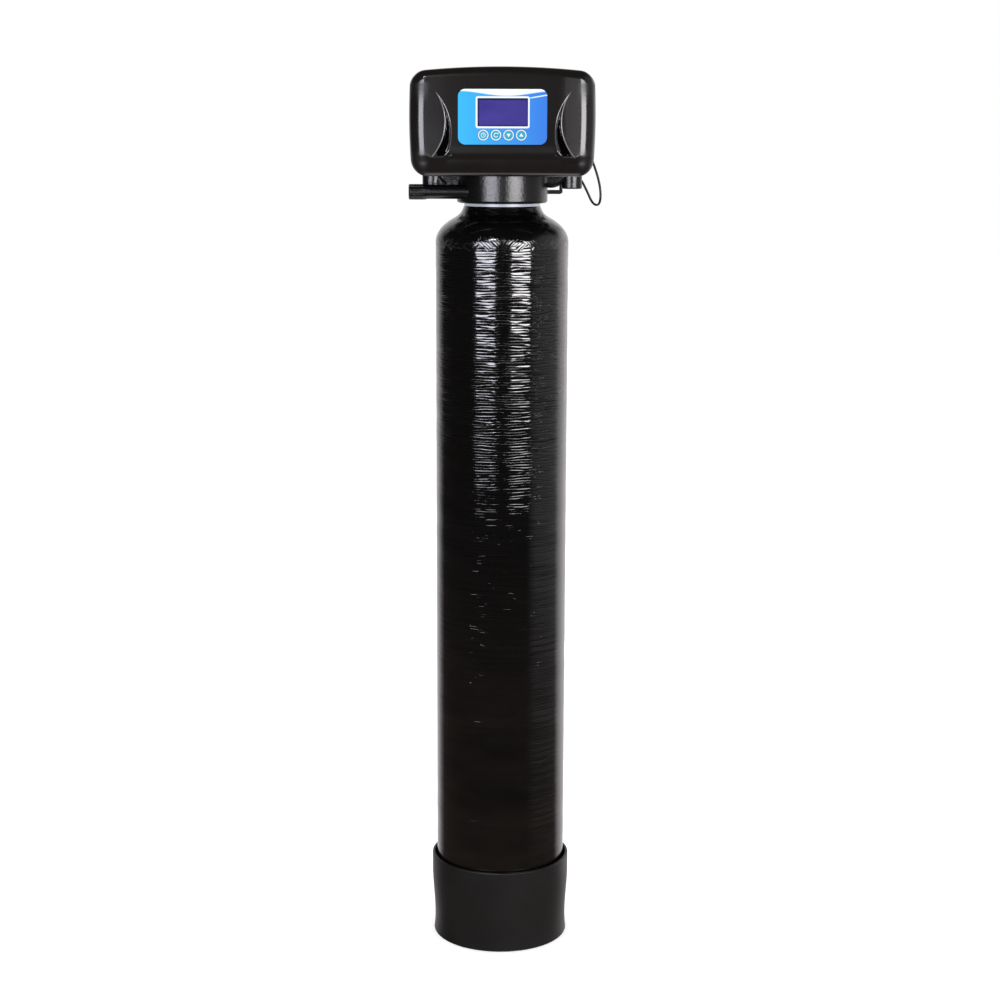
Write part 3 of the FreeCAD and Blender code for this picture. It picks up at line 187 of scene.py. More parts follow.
# What reflections meet beyond the lights: a dim studio with brighter layers. Each layer has the
# direction that it is judged along, where it starts and where it is full, and its colour.
dim_studio = (0.026, 0.025, 0.025)
studio_layers = [("x", 0.70, 0.92, (0.60, 0.60, 0.62)),
                 ("z", -0.10, -0.36, (0.10, 0.082, 0.072)),
                 ("z", -0.90, -0.99, (3.2, 2.9, 3.1)),
                 ("y", 0.50, 0.86, (1.0, 0.97, 1.0)),
                 ("x + y", 1.245, 1.393, (1.5, 1.44, 1.45))]


def link(made):
    bpy.context.scene.collection.objects.link(made)


def make_camera():
    data = bpy.data.cameras.new("camera")
    data.sensor_width = 36.0
    data.lens = camera_lens
    camera = bpy.data.objects.new("camera", data)
    tilt = Matrix.Rotation(math.pi / 2 - camera_tilt, 4, "X")
    roll = Matrix.Rotation(camera_roll, 4, "Z")
    camera.matrix_world = Matrix.Translation(camera_place) @ tilt @ roll
    link(camera)
    bpy.context.scene.camera = camera


class Graph:
    """The node graph of one material, which ends in a Principled BSDF."""

    def __init__(self, name, **constants):
        self.material = bpy.data.materials.new(name)
        self.material.use_nodes = True
        self.tree = self.material.node_tree
        self.shader = self.tree.nodes["Principled BSDF"]
        for socket, value in constants.items():
            self.shader.inputs[socket.replace("_", " ")].default_value = value
        self.coords = self.add("TexCoord").outputs["Object"]

    def add(self, kind, **settings):
        made = self.tree.nodes.new("ShaderNode" + kind)
        for name, value in settings.items():
            setattr(made, name, value)
        return made

    def feed(self, socket, value):
        if isinstance(value, bpy.types.NodeSocket):
            self.tree.links.new(value, socket)
        else:
            socket.default_value = value

    def math(self, operation, a, b=0.0):
        made = self.add("Math", operation=operation)
        self.feed(made.inputs[0], a)
        self.feed(made.inputs[1], b)
        return made.outputs[0]

    def plus(self, a, b):
        return self.math("ADD", a, b)

    def minus(self, a, b):
        return self.math("SUBTRACT", a, b)

    def times(self, first, *others):
        product = first
        for other in others:
            product = self.math("MULTIPLY", product, other)
        return product

    def off(self, value, middle):
        """How far a value is from a middle, on either side."""
        return self.math("ABSOLUTE", self.minus(value, middle))

    def stretch(self, scale):
        made = self.add("Mapping")
        self.feed(made.inputs["Vector"], self.coords)
        made.inputs["Scale"].default_value = scale
        return made.outputs[0]

    def noise(self, vector, scale, detail=2.0, roughness=0.5):
        made = self.add("TexNoise")
        self.feed(made.inputs["Vector"], vector)
        made.inputs["Scale"].default_value = scale
        made.inputs["Detail"].default_value = detail
        made.inputs["Roughness"].default_value = roughness
        return made.outputs["Fac"]

    def cells(self, vector, scale, feature="F1"):
        made = self.add("TexVoronoi", feature=feature)
        self.feed(made.inputs["Vector"], vector)
        made.inputs["Scale"].default_value = scale
        return made

    def spread(self, value, low, high, start=0.0, end=1.0, smooth=False):
        made = self.add("MapRange", interpolation_type="SMOOTHSTEP" if smooth else "LINEAR")
        self.feed(made.inputs["Value"], value)
        made.inputs["From Min"].default_value = low
        made.inputs["From Max"].default_value = high
        made.inputs["To Min"].default_value = start
        made.inputs["To Max"].default_value = end
        return made.outputs[0]

    def blend(self, factor, a, b):
        made = self.add("Mix", data_type="RGBA")
        self.feed(made.inputs[0], factor)
        self.feed(made.inputs[6], a if isinstance(a, bpy.types.NodeSocket) else (*a, 1.0))
        self.feed(made.inputs[7], b if isinstance(b, bpy.types.NodeSocket) else (*b, 1.0))
        return made.outputs[2]

    def axes(self):
        made = self.add("SeparateXYZ")
        self.feed(made.inputs[0], self.coords)
        return made.outputs

    def bump(self, height, distance):
        """Adds a relief of that height in metres on top of the reliefs that are there."""
        made = self.add("Bump")
        self.feed(made.inputs["Height"], height)
        made.inputs["Distance"].default_value = distance
        made.inputs["Strength"].default_value = 1.0
        if self.shader.inputs["Normal"].links:
            self.feed(made.inputs["Normal"], self.shader.inputs["Normal"].links[0].from_socket)
        self.feed(self.shader.inputs["Normal"], made.outputs[0])

    def colour(self, value):
        self.feed(self.shader.inputs["Base Color"], value)

    def roughness(self, value):
        self.feed(self.shader.inputs["Roughness"], value)


def shade(colour, amount):
    return tuple(min(1.0, c * amount) for c in colour)


def moulded(name, colour, roughness, grain=900.0, depth=0.00003, change=0.16, mottle=0.0, specular=0.5):
    """Injection-moulded plastic: faint flow tints, a fine spark-eroded grain and uneven gloss.
    Mottle adds slow dents of that depth."""
    graph = Graph(name, Specular_IOR_Level=specular)
    clouds = graph.noise(graph.coords, 14.0, 4.0)
    specks = graph.noise(graph.coords, grain, 3.0)
    tint = graph.blend(graph.spread(clouds, 0.3, 0.7), shade(colour, 1 - change), shade(colour, 1 + change))
    graph.colour(graph.blend(graph.spread(specks, 0.35, 0.7, 0.0, 0.25), tint, shade(colour, 0.7)))
    graph.roughness(graph.spread(clouds, 0.25, 0.75, roughness * 0.86, roughness * 1.14))
    graph.bump(specks, depth)
    if mottle:
        graph.bump(graph.noise(graph.coords, 420.0, 2.0), mottle)
    return graph.material


def wound_shell():
    """Black resin over hoop-wound fibre: each strand is a low ridge that leans a little its own
    way, with a narrow groove to the next, and strands cross where the dome begins."""
    graph = Graph("wound_resin", IOR=1.5)
    x, y, z = graph.axes()
    pitch = strand_pitch * MM
    wander = graph.noise(graph.stretch((9.0, 9.0, 34.0)), 1.0, 3.0)
    shake = graph.noise(graph.stretch((26.0, 26.0, 150.0)), 1.0, 1.0)
    drift = graph.plus(graph.times(wander, strand_wander), graph.times(shake, strand_shake))
    hoop = graph.plus(graph.times(z, 1 / pitch), drift)
    arc = graph.times(graph.math("ARCTAN2", x, graph.times(y, -1.0)), tank_radius * MM)
    patch = graph.noise(graph.stretch((42.0, 42.0, 90.0)), 1.0, 1.0)
    side = graph.spread(patch, 0.495, 0.505, -1.0, 1.0)
    slanted = graph.times(graph.plus(graph.times(arc, side), z), slant_density / pitch)
    tatter = graph.noise(graph.stretch((150.0, 150.0, 30.0)), 1.0, 2.0)
    ragged = graph.plus(z, graph.times(tatter, crossing_tatter * MM))
    crossing = graph.spread(ragged, crossing_height * MM, (crossing_height + crossing_edge) * MM)
    run = graph.plus(graph.times(hoop, graph.minus(1.0, crossing)), graph.times(slanted, crossing))
    number = graph.math("FLOOR", run)
    share = graph.minus(run, number)
    place = graph.add("CombineXYZ")
    graph.feed(place.inputs[0], graph.times(x, 30.0))
    graph.feed(place.inputs[1], graph.times(y, 30.0))
    graph.feed(place.inputs[2], graph.times(number, 7.31))
    own = graph.noise(place.outputs[0], 1.0, 2.0, 0.6)
    lean = graph.noise(place.outputs[0], 1.7, 1.0)
    rest = graph.minus(1.0, share)
    groove = graph.times(graph.spread(graph.math("MINIMUM", share, rest), 0.0, groove_width, smooth=True),
                         graph.spread(own, 0.35, 0.65, *groove_depths))
    ridge = graph.times(share, rest, ridge_rise)
    tip = graph.times(graph.minus(share, 0.5), graph.spread(lean, 0.3, 0.7, -strand_lean, strand_lean))
    height = graph.minus(graph.plus(graph.plus(groove, ridge), tip), strand_mean)
    dome = graph.spread(z, 0.846, 0.851, 1.0, 0.15, smooth=True)
    smoother = graph.spread(z, 0.50, 0.68, 0.22, 1.0, smooth=True)
    above_floor = graph.spread(z, 0.10, 0.12)
    graph.bump(graph.times(height, smoother, dome, above_floor), MM)
    graph.bump(graph.noise(graph.stretch((30.0, 30.0, 1150.0)), 1.0, 2.0), 0.00003)
    patches = graph.noise(graph.stretch((9.0, 9.0, 26.0)), 1.0, 3.0)
    # Painted light: the base colour turns lighter and browner towards the bottom of the tank.
    low = graph.spread(z, 0.10, 0.55, 1.0, 0.0, smooth=True)
    painted_bottom_light = graph.blend(low, (0.0022, 0.0021, 0.0022), (0.0075, 0.0058, 0.0050))
    graph.colour(graph.blend(graph.spread(patches, 0.3, 0.7), painted_bottom_light, (0.0018, 0.0017, 0.0017)))
    graph.roughness(graph.spread(patches, 0.3, 0.7, 0.07, 0.11))
    return graph.material


def crescent_distances(graph, across, z):
    """Distances into a crescent from its inner edge, its outer edge and its foot, as nodes."""
    def away(centre):
        dx = graph.minus(across, centre[0] * MM)
        dz = graph.minus(z, centre[1] * MM)
        return graph.math("SQRT", graph.plus(graph.times(dx, dx), graph.times(dz, dz)))

    from_inner = graph.minus(inner_circle[1] * MM, away(inner_circle[0]))
    from_outer = graph.minus(away(outer_circle[0]), outer_circle[1] * MM)
    start = (foot_start[1] + foot_slope * foot_start[0]) * MM
    falling = graph.minus(start, graph.times(across, foot_slope))
    from_foot = graph.minus(z, graph.math("MAXIMUM", falling, foot_height * MM))
    return from_inner, from_outer, from_foot


def cover_abs():
    """Glossy black cover: a brownish face with a painted lighter reflection band above the chin's crease,
    painted near-black shade in the crescent recesses, painted highlight lines along the crescents' moulded
    edges and a painted highlight dash at their feet, and a duller gloss where the highlights at its sides
    end."""
    graph = Graph("cover_abs", Specular_IOR_Level=0.30)
    x, y, z = graph.axes()
    across = graph.off(x, crescent_shift * MM)
    from_inner, from_outer, from_foot = crescent_distances(graph, across, z)
    front = graph.spread(y, -0.060, -0.055, 1.0, 0.0)
    below_tip = graph.spread(z, (crescent_tip_height - 0.5) * MM, crescent_tip_height * MM, 1.0, 0.0)

    def beyond(distance, start):
        return graph.spread(distance, start * MM, (start + 0.4) * MM)

    def within(distance):
        return graph.spread(distance, -0.0001, 0.0002)

    def line(distance, width):
        from_middle = graph.off(distance, width / 2 * MM)
        return graph.spread(from_middle, (width / 2 - 0.25) * MM, (width / 2 + 0.15) * MM, 1.0, 0.0)

    # Mask of the crescent recesses, which get painted near-black shade in the colour and a sharper gloss.
    recess_painted_shade = graph.times(beyond(from_inner, inner_lip[0]), beyond(from_outer, outer_lip[0]),
                         graph.spread(from_foot, 0.0008, 0.0014), below_tip, front)
    # Painted highlights: thin light lines along the crescents' outer and inner edges.
    outer_edge_highlight = graph.times(line(from_outer, outer_highlight_width), within(from_inner))
    inner_edge_highlight = graph.times(line(from_inner, inner_highlight_width), within(from_outer),
                             graph.spread(z, 0.966, 0.996, 0.06, 1.0, smooth=True))
    # edges: mask of the painted highlight lines along both crescent edges.
    edges = graph.times(graph.math("MAXIMUM", outer_edge_highlight, inner_edge_highlight), within(from_foot), below_tip, front)
    # Painted highlight: a short bright dash just above each crescent's foot.
    foot_highlight = graph.times(line(from_foot, foot_highlight_width), within(from_inner),
                       graph.spread(across, 0.0640, 0.0652, 1.0, 0.0), front)
    # Painted reflection: bevel is a lighter colour band across the middle of the face just above the chin's
    # crease.
    level = graph.off(z, light_band_height * MM)
    bevel = graph.times(graph.spread(level, 0.0012, 0.0062, 0.55, 0.0, smooth=True),
                        graph.spread(across, 0.054, 0.062, 1.0, 0.0, smooth=True), front)
    clouds = graph.noise(graph.coords, 14.0, 4.0)
    tint = graph.blend(graph.spread(clouds, 0.3, 0.7), (0.0078, 0.0066, 0.0060), (0.0098, 0.0084, 0.0078))
    # Painted reflection band above the crease.
    tint = graph.blend(bevel, tint, (0.0240, 0.0225, 0.0230))
    # Painted shade: the crescent recesses are coloured near black.
    tint = graph.blend(recess_painted_shade, tint, (0.0006, 0.0006, 0.0010))
    # Painted highlight lines along the crescents' edges.
    tint = graph.blend(edges, tint, (0.21, 0.20, 0.21))
    # Painted highlight dash at the crescents' feet.
    graph.colour(graph.blend(foot_highlight, tint, (0.44, 0.43, 0.44)))
    upper = graph.spread(z, 0.996, 1.024, 0.0, 0.24, smooth=True)
    lower = graph.spread(z, 0.954, 0.938, 0.0, 0.20, smooth=True)
    ends = graph.times(graph.plus(upper, lower), graph.spread(across, 0.081, 0.091, smooth=True),
                       graph.spread(z, 1.0200, 1.0240, 1.0, 0.0))
    sheen = graph.plus(graph.spread(clouds, 0.25, 0.75, 0.155, 0.185), ends)
    sheen = graph.times(sheen, graph.spread(recess_painted_shade, 0.0, 1.0, 1.0, 0.35))
    quiet = graph.times(line(from_inner, quiet_width), graph.spread(z, 0.970, 0.988, 0.55, 0.0),
                        within(from_outer), within(from_foot))
    graph.roughness(graph.math("MAXIMUM", sheen, quiet))
    graph.bump(graph.noise(graph.coords, 1300.0, 3.0), 0.000004)
    return graph.material


def overlay_film():
    """Printed polyester film: blue run from left to right, with a pale wave across its top and a
    thin streak that rises to the right."""
    graph = Graph("printed_film", IOR=1.5, Specular_IOR_Level=0.2)
    x, _, z = graph.axes()
    left = (label_middle[0] - label_size[0] / 2) * MM
    right = (label_middle[0] + label_size[0] / 2) * MM
    top = (label_middle[1] + label_size[1] / 2) * MM
    sky = graph.blend(graph.spread(x, left, right), (0.028, 0.455, 0.900), (0.036, 0.190, 0.740))
    turn = graph.times(graph.plus(x, wave_start * MM), wave_turn)
    swell = graph.plus(graph.times(graph.math("SINE", turn), wave_rise * MM), wave_drop * MM)
    wave = graph.minus(graph.plus(z, swell), top)
    band = graph.spread(wave, -0.0007, 0.0009, smooth=True)
    rise = graph.times(graph.minus(x, streak_start * MM), streak_slope)
    drift = graph.minus(graph.minus(z, top - streak_drop * MM), rise)
    streak = graph.spread(graph.math("ABSOLUTE", drift), 0.0001, 0.0010, 1.0, 0.0, smooth=True)
    streak = graph.times(streak, graph.spread(x, 0.026, 0.034))
    light = graph.blend(graph.math("MAXIMUM", band, streak), sky, (0.86, 0.99, 1.0))
    paper = graph.noise(graph.coords, 420.0, 3.0)
    graph.colour(graph.blend(graph.spread(paper, 0.3, 0.7, 0.0, 0.05), light, (0.02, 0.12, 0.4)))
    graph.roughness(graph.spread(paper, 0.2, 0.8, 0.20, 0.27))
    graph.bump(paper, 0.000006)
    return graph.material


def screen_panel():
    """Liquid-crystal panel: a violet-blue backlight with a faint grid of dots, dimmed near its edge by a
    painted shadow of the window's recess that is widest along the top and left.
    """
    graph = Graph("lcd_panel", Roughness=0.5, Specular_IOR_Level=0.1, Emission_Strength=1.0)
    x, _, z = graph.axes()
    half_x = screen_size[0] / 2
    half_z = screen_size[1] / 2
    inset = graph.math("MINIMUM", graph.minus(half_x * MM, graph.off(x, screen_middle[0] * MM)),
                       graph.minus(half_z * MM, graph.off(z, screen_middle[1] * MM)))
    # Painted shadow: the glow dims towards the window's edge, over a wider band at the top and left.
    shadow_x = graph.minus(x, (screen_middle[0] - half_x + 0.6) * MM)
    shadow_z = graph.minus((screen_middle[1] + half_z - 1.2) * MM, z)
    near = graph.math("MINIMUM", inset, graph.math("MINIMUM", shadow_x, shadow_z))
    edge = graph.spread(near, 0.0002, 0.0018, smooth=True)
    dots = graph.times(graph.math("SINE", graph.times(x, dot_density)),
                       graph.math("SINE", graph.times(z, dot_density)))
    haze = graph.noise(graph.stretch((30.0, 30.0, 55.0)), 1.0, 2.0)
    glow = graph.blend(graph.spread(haze, 0.3, 0.7), (0.046, 0.036, 0.250), (0.062, 0.048, 0.300))
    glow = graph.blend(graph.spread(dots, -1.0, 1.0, 0.0, 0.12), glow, (0.02, 0.02, 0.14))
    # Painted shadow of the window's recess near the panel's edge.
    glow = graph.blend(edge, (0.010, 0.008, 0.045), glow)
    lit = graph.spread(inset, -0.0002, 0.0001)
    graph.colour(graph.blend(lit, (0.008, 0.008, 0.010), (0.012, 0.010, 0.040)))
    graph.feed(graph.shader.inputs["Emission Color"], graph.blend(lit, (0.0, 0.0, 0.0), glow))
    return graph.material


def window_film():
    """Clear hard-coated window over the panel, with a barely uneven face."""
    graph = Graph("clear_window", Transmission_Weight=1.0, IOR=1.12)
    wipe = graph.noise(graph.stretch((40.0, 40.0, 90.0)), 1.0, 2.0)
    graph.colour(graph.blend(graph.spread(wipe, 0.3, 0.7), (0.97, 0.97, 1.0), (1.0, 1.0, 1.0)))
    graph.roughness(graph.spread(wipe, 0.3, 0.7, 0.0, 0.03))
    return graph.material


def metal(name, colour, roughness, grain):
    """Metal with a drawn or blasted grain."""
    graph = Graph(name, Metallic=1.0)
    streak = graph.noise(graph.stretch(grain), 1.0, 4.0)
    graph.colour(graph.blend(graph.spread(streak, 0.3, 0.7), shade(colour, 0.82), shade(colour, 1.1)))
    graph.roughness(graph.spread(streak, 0.25, 0.75, roughness * 0.75, roughness * 1.3))
    graph.bump(streak, 0.00002)
    return graph.material


def granules(name, dark, light, scale, roughness, depth):
    """A bed of grains: each cell has its own tint and a rounded top."""
    graph = Graph(name)
    cell = graph.cells(graph.coords, scale)
    tint = graph.add("SeparateColor")
    graph.feed(tint.inputs[0], cell.outputs["Color"])
    graph.colour(graph.blend(tint.outputs[0], dark, light))
    graph.roughness(graph.spread(tint.outputs[1], 0.0, 1.0, roughness * 0.8, roughness * 1.2))
    graph.bump(graph.minus(1.0, cell.outputs["Distance"]), depth)
    return graph.material


def circuit_board():
    """Solder mask over copper: green with faint tracks and paler pads."""
    graph = Graph("solder_mask", Roughness=0.38, IOR=1.5)
    tracks = graph.cells(graph.coords, 230.0, "DISTANCE_TO_EDGE")
    line = graph.spread(tracks.outputs["Distance"], 0.02, 0.06, 1.0, 0.0)
    cloud = graph.noise(graph.coords, 60.0, 3.0)
    mask = graph.blend(graph.spread(cloud, 0.3, 0.7), (0.008, 0.090, 0.035), (0.012, 0.120, 0.050))
    graph.colour(graph.blend(graph.times(line, 0.5), mask, (0.03, 0.22, 0.10)))
    graph.bump(line, 0.00003)
    return graph.material


def make_materials():
    return {
        "boot": moulded("boot_plastic", (0.0100, 0.0082, 0.0075), 0.45, 700.0, 0.00006, specular=0.3),
        "wound_shell": wound_shell(),
        "liner": moulded("liner_polyethylene", (0.05, 0.10, 0.26), 0.45),
        "white_insert": moulded("white_insert_plastic", (0.62, 0.66, 0.76), 0.35),
        "gravel": granules("gravel_grains", (0.20, 0.15, 0.11), (0.55, 0.50, 0.43), 330.0, 0.7, 0.0015),
        "carbon": granules("carbon_grains", (0.004, 0.004, 0.004), (0.03, 0.03, 0.032), 620.0, 0.5, 0.001),
        "pipe": moulded("pipe_plastic", (0.60, 0.60, 0.58), 0.35),
        "valve_plastic": moulded("valve_nylon", (0.0055, 0.0052, 0.0056), 0.25, 450.0, 0.00006,
                                 mottle=0.00020, specular=0.3),
        "clip_plastic": moulded("clip_acetal", (0.0055, 0.0053, 0.0056), 0.26, 1100.0, 0.00002,
                                specular=0.3),
        "inner_plastic": moulded("inner_abs", (0.030, 0.030, 0.032), 0.42),
        "gears": moulded("gear_acetal", (0.55, 0.53, 0.48), 0.34),
        "ceramic_disc": moulded("alumina", (0.72, 0.70, 0.66), 0.16, 1500.0, 0.000008, 0.05),
        "seal_rubber": moulded("seal_rubber", (0.014, 0.014, 0.015), 0.62, 500.0, 0.00004),
        "dark_screw": metal("blackened_steel", (0.030, 0.029, 0.031), 0.36, (500.0, 500.0, 500.0)),
        "steel": metal("zinc_steel", (0.55, 0.55, 0.57), 0.30, (500.0, 500.0, 500.0)),
        "motor_can": metal("motor_steel", (0.50, 0.50, 0.51), 0.33, (60.0, 900.0, 60.0)),
        "circuit_board": circuit_board(),
        "switches": moulded("switch_plastic", (0.02, 0.02, 0.022), 0.4),
        "lcd": screen_panel(),
        "cover_plastic": cover_abs(),
        "overlay_film": overlay_film(),
        "window_film": window_film(),
        "key_film": moulded("key_elastomer", (0.035, 0.390, 0.600), 0.25, depth=0.000006, change=0.08,
                            specular=0.2),
        "lead_sheath": moulded("lead_pvc", (0.0030, 0.0030, 0.0032), 0.30, 600.0, 0.00001,
                               specular=0.15),
        "white_print": moulded("white_ink", (0.84, 0.88, 0.92), 0.30, depth=0.000004, change=0.03,
                               specular=0.2),
    }


def make_object(name, points, faces, body, material, smooth_below=40.0):
    """A mesh piece from points in millimetres. Edges sharper than the given angle stay sharp."""
    mesh = bpy.data.meshes.new(name)
    mesh.from_pydata([tuple(p) for p in np.asarray(points, float) * MM], [], faces)
    mesh.update()
    mesh.materials.append(material)
    mesh.polygons.foreach_set("use_smooth", [True] * len(mesh.polygons))
    mesh.set_sharp_from_angle(angle=math.radians(smooth_below))
    made = bpy.data.objects.new(name, mesh)
    link(made)
    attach(made, body)
    return made


def ring_faces(rings, columns, start=0, flip=False, closed=False):
    """Quads between neighbouring rings of points, each ring closed on itself."""
    faces = []
    for i in range(rings if closed else rings - 1):
        low = start + i * columns
        high = start + ((i + 1) % rings) * columns
        for j in range(columns):
            k = (j + 1) % columns
            quad = (low + j, low + k, high + k, high + j)
            faces.append(quad[::-1] if flip else quad)
    return faces


def lathe_points(profile, columns):
    """Rings of points about Z from a profile of (radius, height)."""
    angles = np.arange(columns) * 2 * math.pi / columns
    return np.concatenate([np.stack([r * np.cos(angles), r * np.sin(angles), np.full(columns, z)], 1)
                           for r, z in profile])


def rounded_rectangle(middle, size, radius, inset=0.0, steps=10):
    """Loop of points round a rectangle with rounded corners, in x and z."""
    loop = []
    half_x = size[0] / 2 - inset
    half_z = size[1] / 2 - inset
    r = max(0.05, radius - inset)
    for i, (sx, sz) in enumerate([(1, 1), (-1, 1), (-1, -1), (1, -1)]):
        for step in range(steps + 1):
            a = math.pi / 2 * (i + step / steps)
            loop.append((middle[0] + sx * (half_x - r) + r * math.cos(a),
                         middle[1] + sz * (half_z - r) + r * math.sin(a)))
    return loop


def circle(x, z, radius, count=48):
    return [(x + radius * math.cos(2 * math.pi * i / count), z + radius * math.sin(2 * math.pi * i / count))
            for i in range(count)]


def inside(points, loops):
    """Even-odd test of points against all the loops together."""
    odd = np.zeros(len(points), bool)
    for loop in loops:
        a = np.array(loop)
        b = np.roll(a, -1, 0)
        for (x0, z0), (x1, z1) in zip(a, b):
            crosses = (z0 > points[:, 1]) != (z1 > points[:, 1])
            if z0 != z1:
                odd ^= crosses & (points[:, 0] < (x1 - x0) * (points[:, 1] - z0) / (z1 - z0) + x0)
    return odd


def fill(loops):
    """Triangles of the area that the loops bound, as indices into all their points in a row."""
    points = [Vector(p) for loop in loops for p in loop]
    edges = []
    start = 0
    for loop in loops:
        edges += [(start + i, start + (i + 1) % len(loop)) for i in range(len(loop))]
        start += len(loop)
    verts, _, faces, origins, _, _ = delaunay_2d_cdt(points, edges, [], 1, 1e-7)
    middles = np.array([[sum(verts[i][k] for i in f) / len(f) for k in (0, 1)] for f in faces])
    kept = inside(middles, loops)
    return [tuple(origins[i][0] for i in f) for f, keep in zip(faces, kept) if keep]


def plate(name, loops, front, back, body, material, bevel=0.0):
    """A flat piece that faces -Y, cut to the loops."""
    flat = np.array([p for loop in loops for p in loop])
    count = len(flat)
    layers = [np.stack([flat[:, 0], np.full(count, y), flat[:, 1]], 1) for y in (front, back)]
    top = fill(loops)
    faces = []
    for a, b, c in top:
        faces.append((a, b, c))
        faces.append((c + count, b + count, a + count))
    start = 0
    for loop in loops:
        for i in range(len(loop)):
            a = start + i
            b = start + (i + 1) % len(loop)
            faces.append((a, b, b + count, a + count))
        start += len(loop)
    made = make_object(name, np.concatenate(layers), faces, body, material)
    fix_normals(made)
    if bevel:
        edge = made.modifiers.new("edge", "BEVEL")
        edge.width = bevel * MM
        edge.segments = 2
        edge.limit_method = "ANGLE"
    return made


def fix_normals(made):
    """Turns all faces of a closed mesh outward."""
    mesh = bmesh.new()
    mesh.from_mesh(made.data)
    bmesh.ops.recalc_face_normals(mesh, faces=mesh.faces)
    mesh.to_mesh(made.data)
    mesh.free()


def make_lead(material):
    curve = bpy.data.curves.new("lead_cable", "CURVE")
    curve.dimensions = "3D"
    spline = curve.splines.new("NURBS")
    spline.points.add(len(lead_points) - 1)
    for point, place in zip(spline.points, lead_points):
        point.co = (place[0] * MM, place[1] * MM, place[2] * MM, 1.0)
    spline.order_u = 3
    spline.use_endpoint_u = True
    spline.resolution_u = 14
    curve.bevel_depth = lead_diameter / 2 * MM
    curve.bevel_resolution = 6
    curve.use_fill_caps = True
    curve.materials.append(material)
    lead = bpy.data.objects.new("lead_cable", curve)
    link(lead)
    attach(lead, BODY)
    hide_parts("sensor_lead")


def ripples(angle, height, amount, turns, low_wave, high_wave, count):
    """Smooth waviness over the tank's surface: a sum of random waves that close on themselves."""
    total = np.zeros_like(height)
    for _ in range(count):
        k = rng.integers(0, turns + 1)
        wave = 2 * math.pi / rng.uniform(low_wave, high_wave)
        total += np.sin(k * angle + wave * height + rng.uniform(0, 2 * math.pi))
    return amount * total / math.sqrt(count)


def tank_profile():
    """Radius and height up the outside of the tank, closely spaced where it shows."""
    profile = []
    for a in np.linspace(90.0, 0.0, 20)[1:]:
        a = math.radians(a)
        profile.append((tank_radius * math.cos(a), dome_low_middle - dome_height * math.sin(a)))
    hidden = np.arange(54.0, boot_top, 4.0)
    for z in (*hidden, *np.arange(boot_top, dome_high_middle - 0.5, 1.5)):
        profile.append((tank_radius, z))
    end = math.asin((neck_flare[0][1] - 1.2 - dome_high_middle) / dome_high_height)
    for a in np.linspace(0.0, end, 30):
        profile.append((tank_radius * math.cos(a), dome_high_middle + dome_high_height * math.sin(a)))
    return profile + neck_flare


def make_tank(material):
    profile = tank_profile()
    outer = lathe_points(profile, tank_columns)
    angle = np.arctan2(outer[:, 1], outer[:, 0])
    height = outer[:, 2]
    radius = np.hypot(outer[:, 0], outer[:, 1])
    shown = np.clip((height - 88.0) / 14.0, 0.06, 1.0)
    shown *= np.clip((878.0 - height) / 6.0, 0.0, 1.0)
    push = ripples(angle, height, 0.07, 5, 30.0, 70.0, 14)
    push += ripples(angle, height, 0.035, 1, 7.0, 12.0, 8)
    dome = np.clip((height - dome_high_middle + 4.0) / 8.0, 0.0, 1.0)
    for lean in (-1, 1):
        push += 0.05 * dome * np.abs(np.sin(lean * 13 * angle + height / 3.4))
    push = np.clip(push, -0.28, 0.28) + 0.15
    grown = (radius + push * shown) / radius
    outer[:, 0] *= grown
    outer[:, 1] *= grown
    neck = neck_radius - shell_wall
    bore = tank_radius - shell_wall
    rise = dome_height - shell_wall
    inner_profile = [(neck, tank_top), (neck, neck_start)]
    for a in np.linspace(1.0, 0.0, 7):
        a *= math.acos(neck / bore)
        inner_profile.append((bore * math.cos(a), dome_high_middle + rise * math.sin(a)))
    for a in np.linspace(0.0, 85.0, 8):
        a = math.radians(a)
        inner_profile.append((bore * math.cos(a), dome_low_middle - rise * math.sin(a)))
    inner = lathe_points(inner_profile, tank_columns)
    rings = len(profile) + len(inner_profile)
    points = np.concatenate([outer, inner, [[0, 0, tank_low], [0, 0, tank_low + shell_wall]]])
    faces = ring_faces(rings, tank_columns)
    first_pole = rings * tank_columns
    last = (rings - 1) * tank_columns
    for j in range(tank_columns):
        k = (j + 1) % tank_columns
        faces.append((first_pole, k, j))
        faces.append((first_pole + 1, last + j, last + k))
    tank = make_object("wound_tank", points, faces, BODY, material, 60.0)
    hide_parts("tank_shell")


def half_width(z):
    """Half the head's width at a height, on the curve through the three given places."""
    total = 0.0
    for i, (zi, wi) in enumerate(side_curve):
        share = wi
        for j, (zj, _) in enumerate(side_curve):
            if j != i:
                share = share * (z - zj) / (zi - zj)
        total = total + share
    return total


def crown(x):
    return cover_crown - crown_fall * (x / crown_reach) ** 2


def edge_level(x, z, inset=0.0):
    """0 on the head's flat face, rising to 1 on its outline."""
    side = 1 - (half_width(z) - np.abs(x) - inset) / (side_rounding - inset)
    rounding = top_rounding + corner_extra * smooth(np.abs(x), 86.0, 98.0)
    top = 1 - (crown(x) - z - inset) / (rounding - inset)
    low = 1 - (z - cover_bottom - inset) / (low_rounding - inset)
    return np.sqrt(np.clip(side, 0, None) ** 2 + np.clip(top, 0, None) ** 2 + np.clip(low, 0, None) ** 2)


def rounding_drop(x, z, level):
    """How far the rounded edge lies behind the face: deeper at the sides than above and below."""
    side = np.clip(1 - (half_width(z) - np.abs(x)) / side_rounding, 0, None)
    share = np.clip(side / max(level, 0.001), 0, 1) ** 2
    deep = rounding_depth + (side_depth - rounding_depth) * share
    return deep * (1 - math.sqrt(max(0.0, 1 - level * level)))


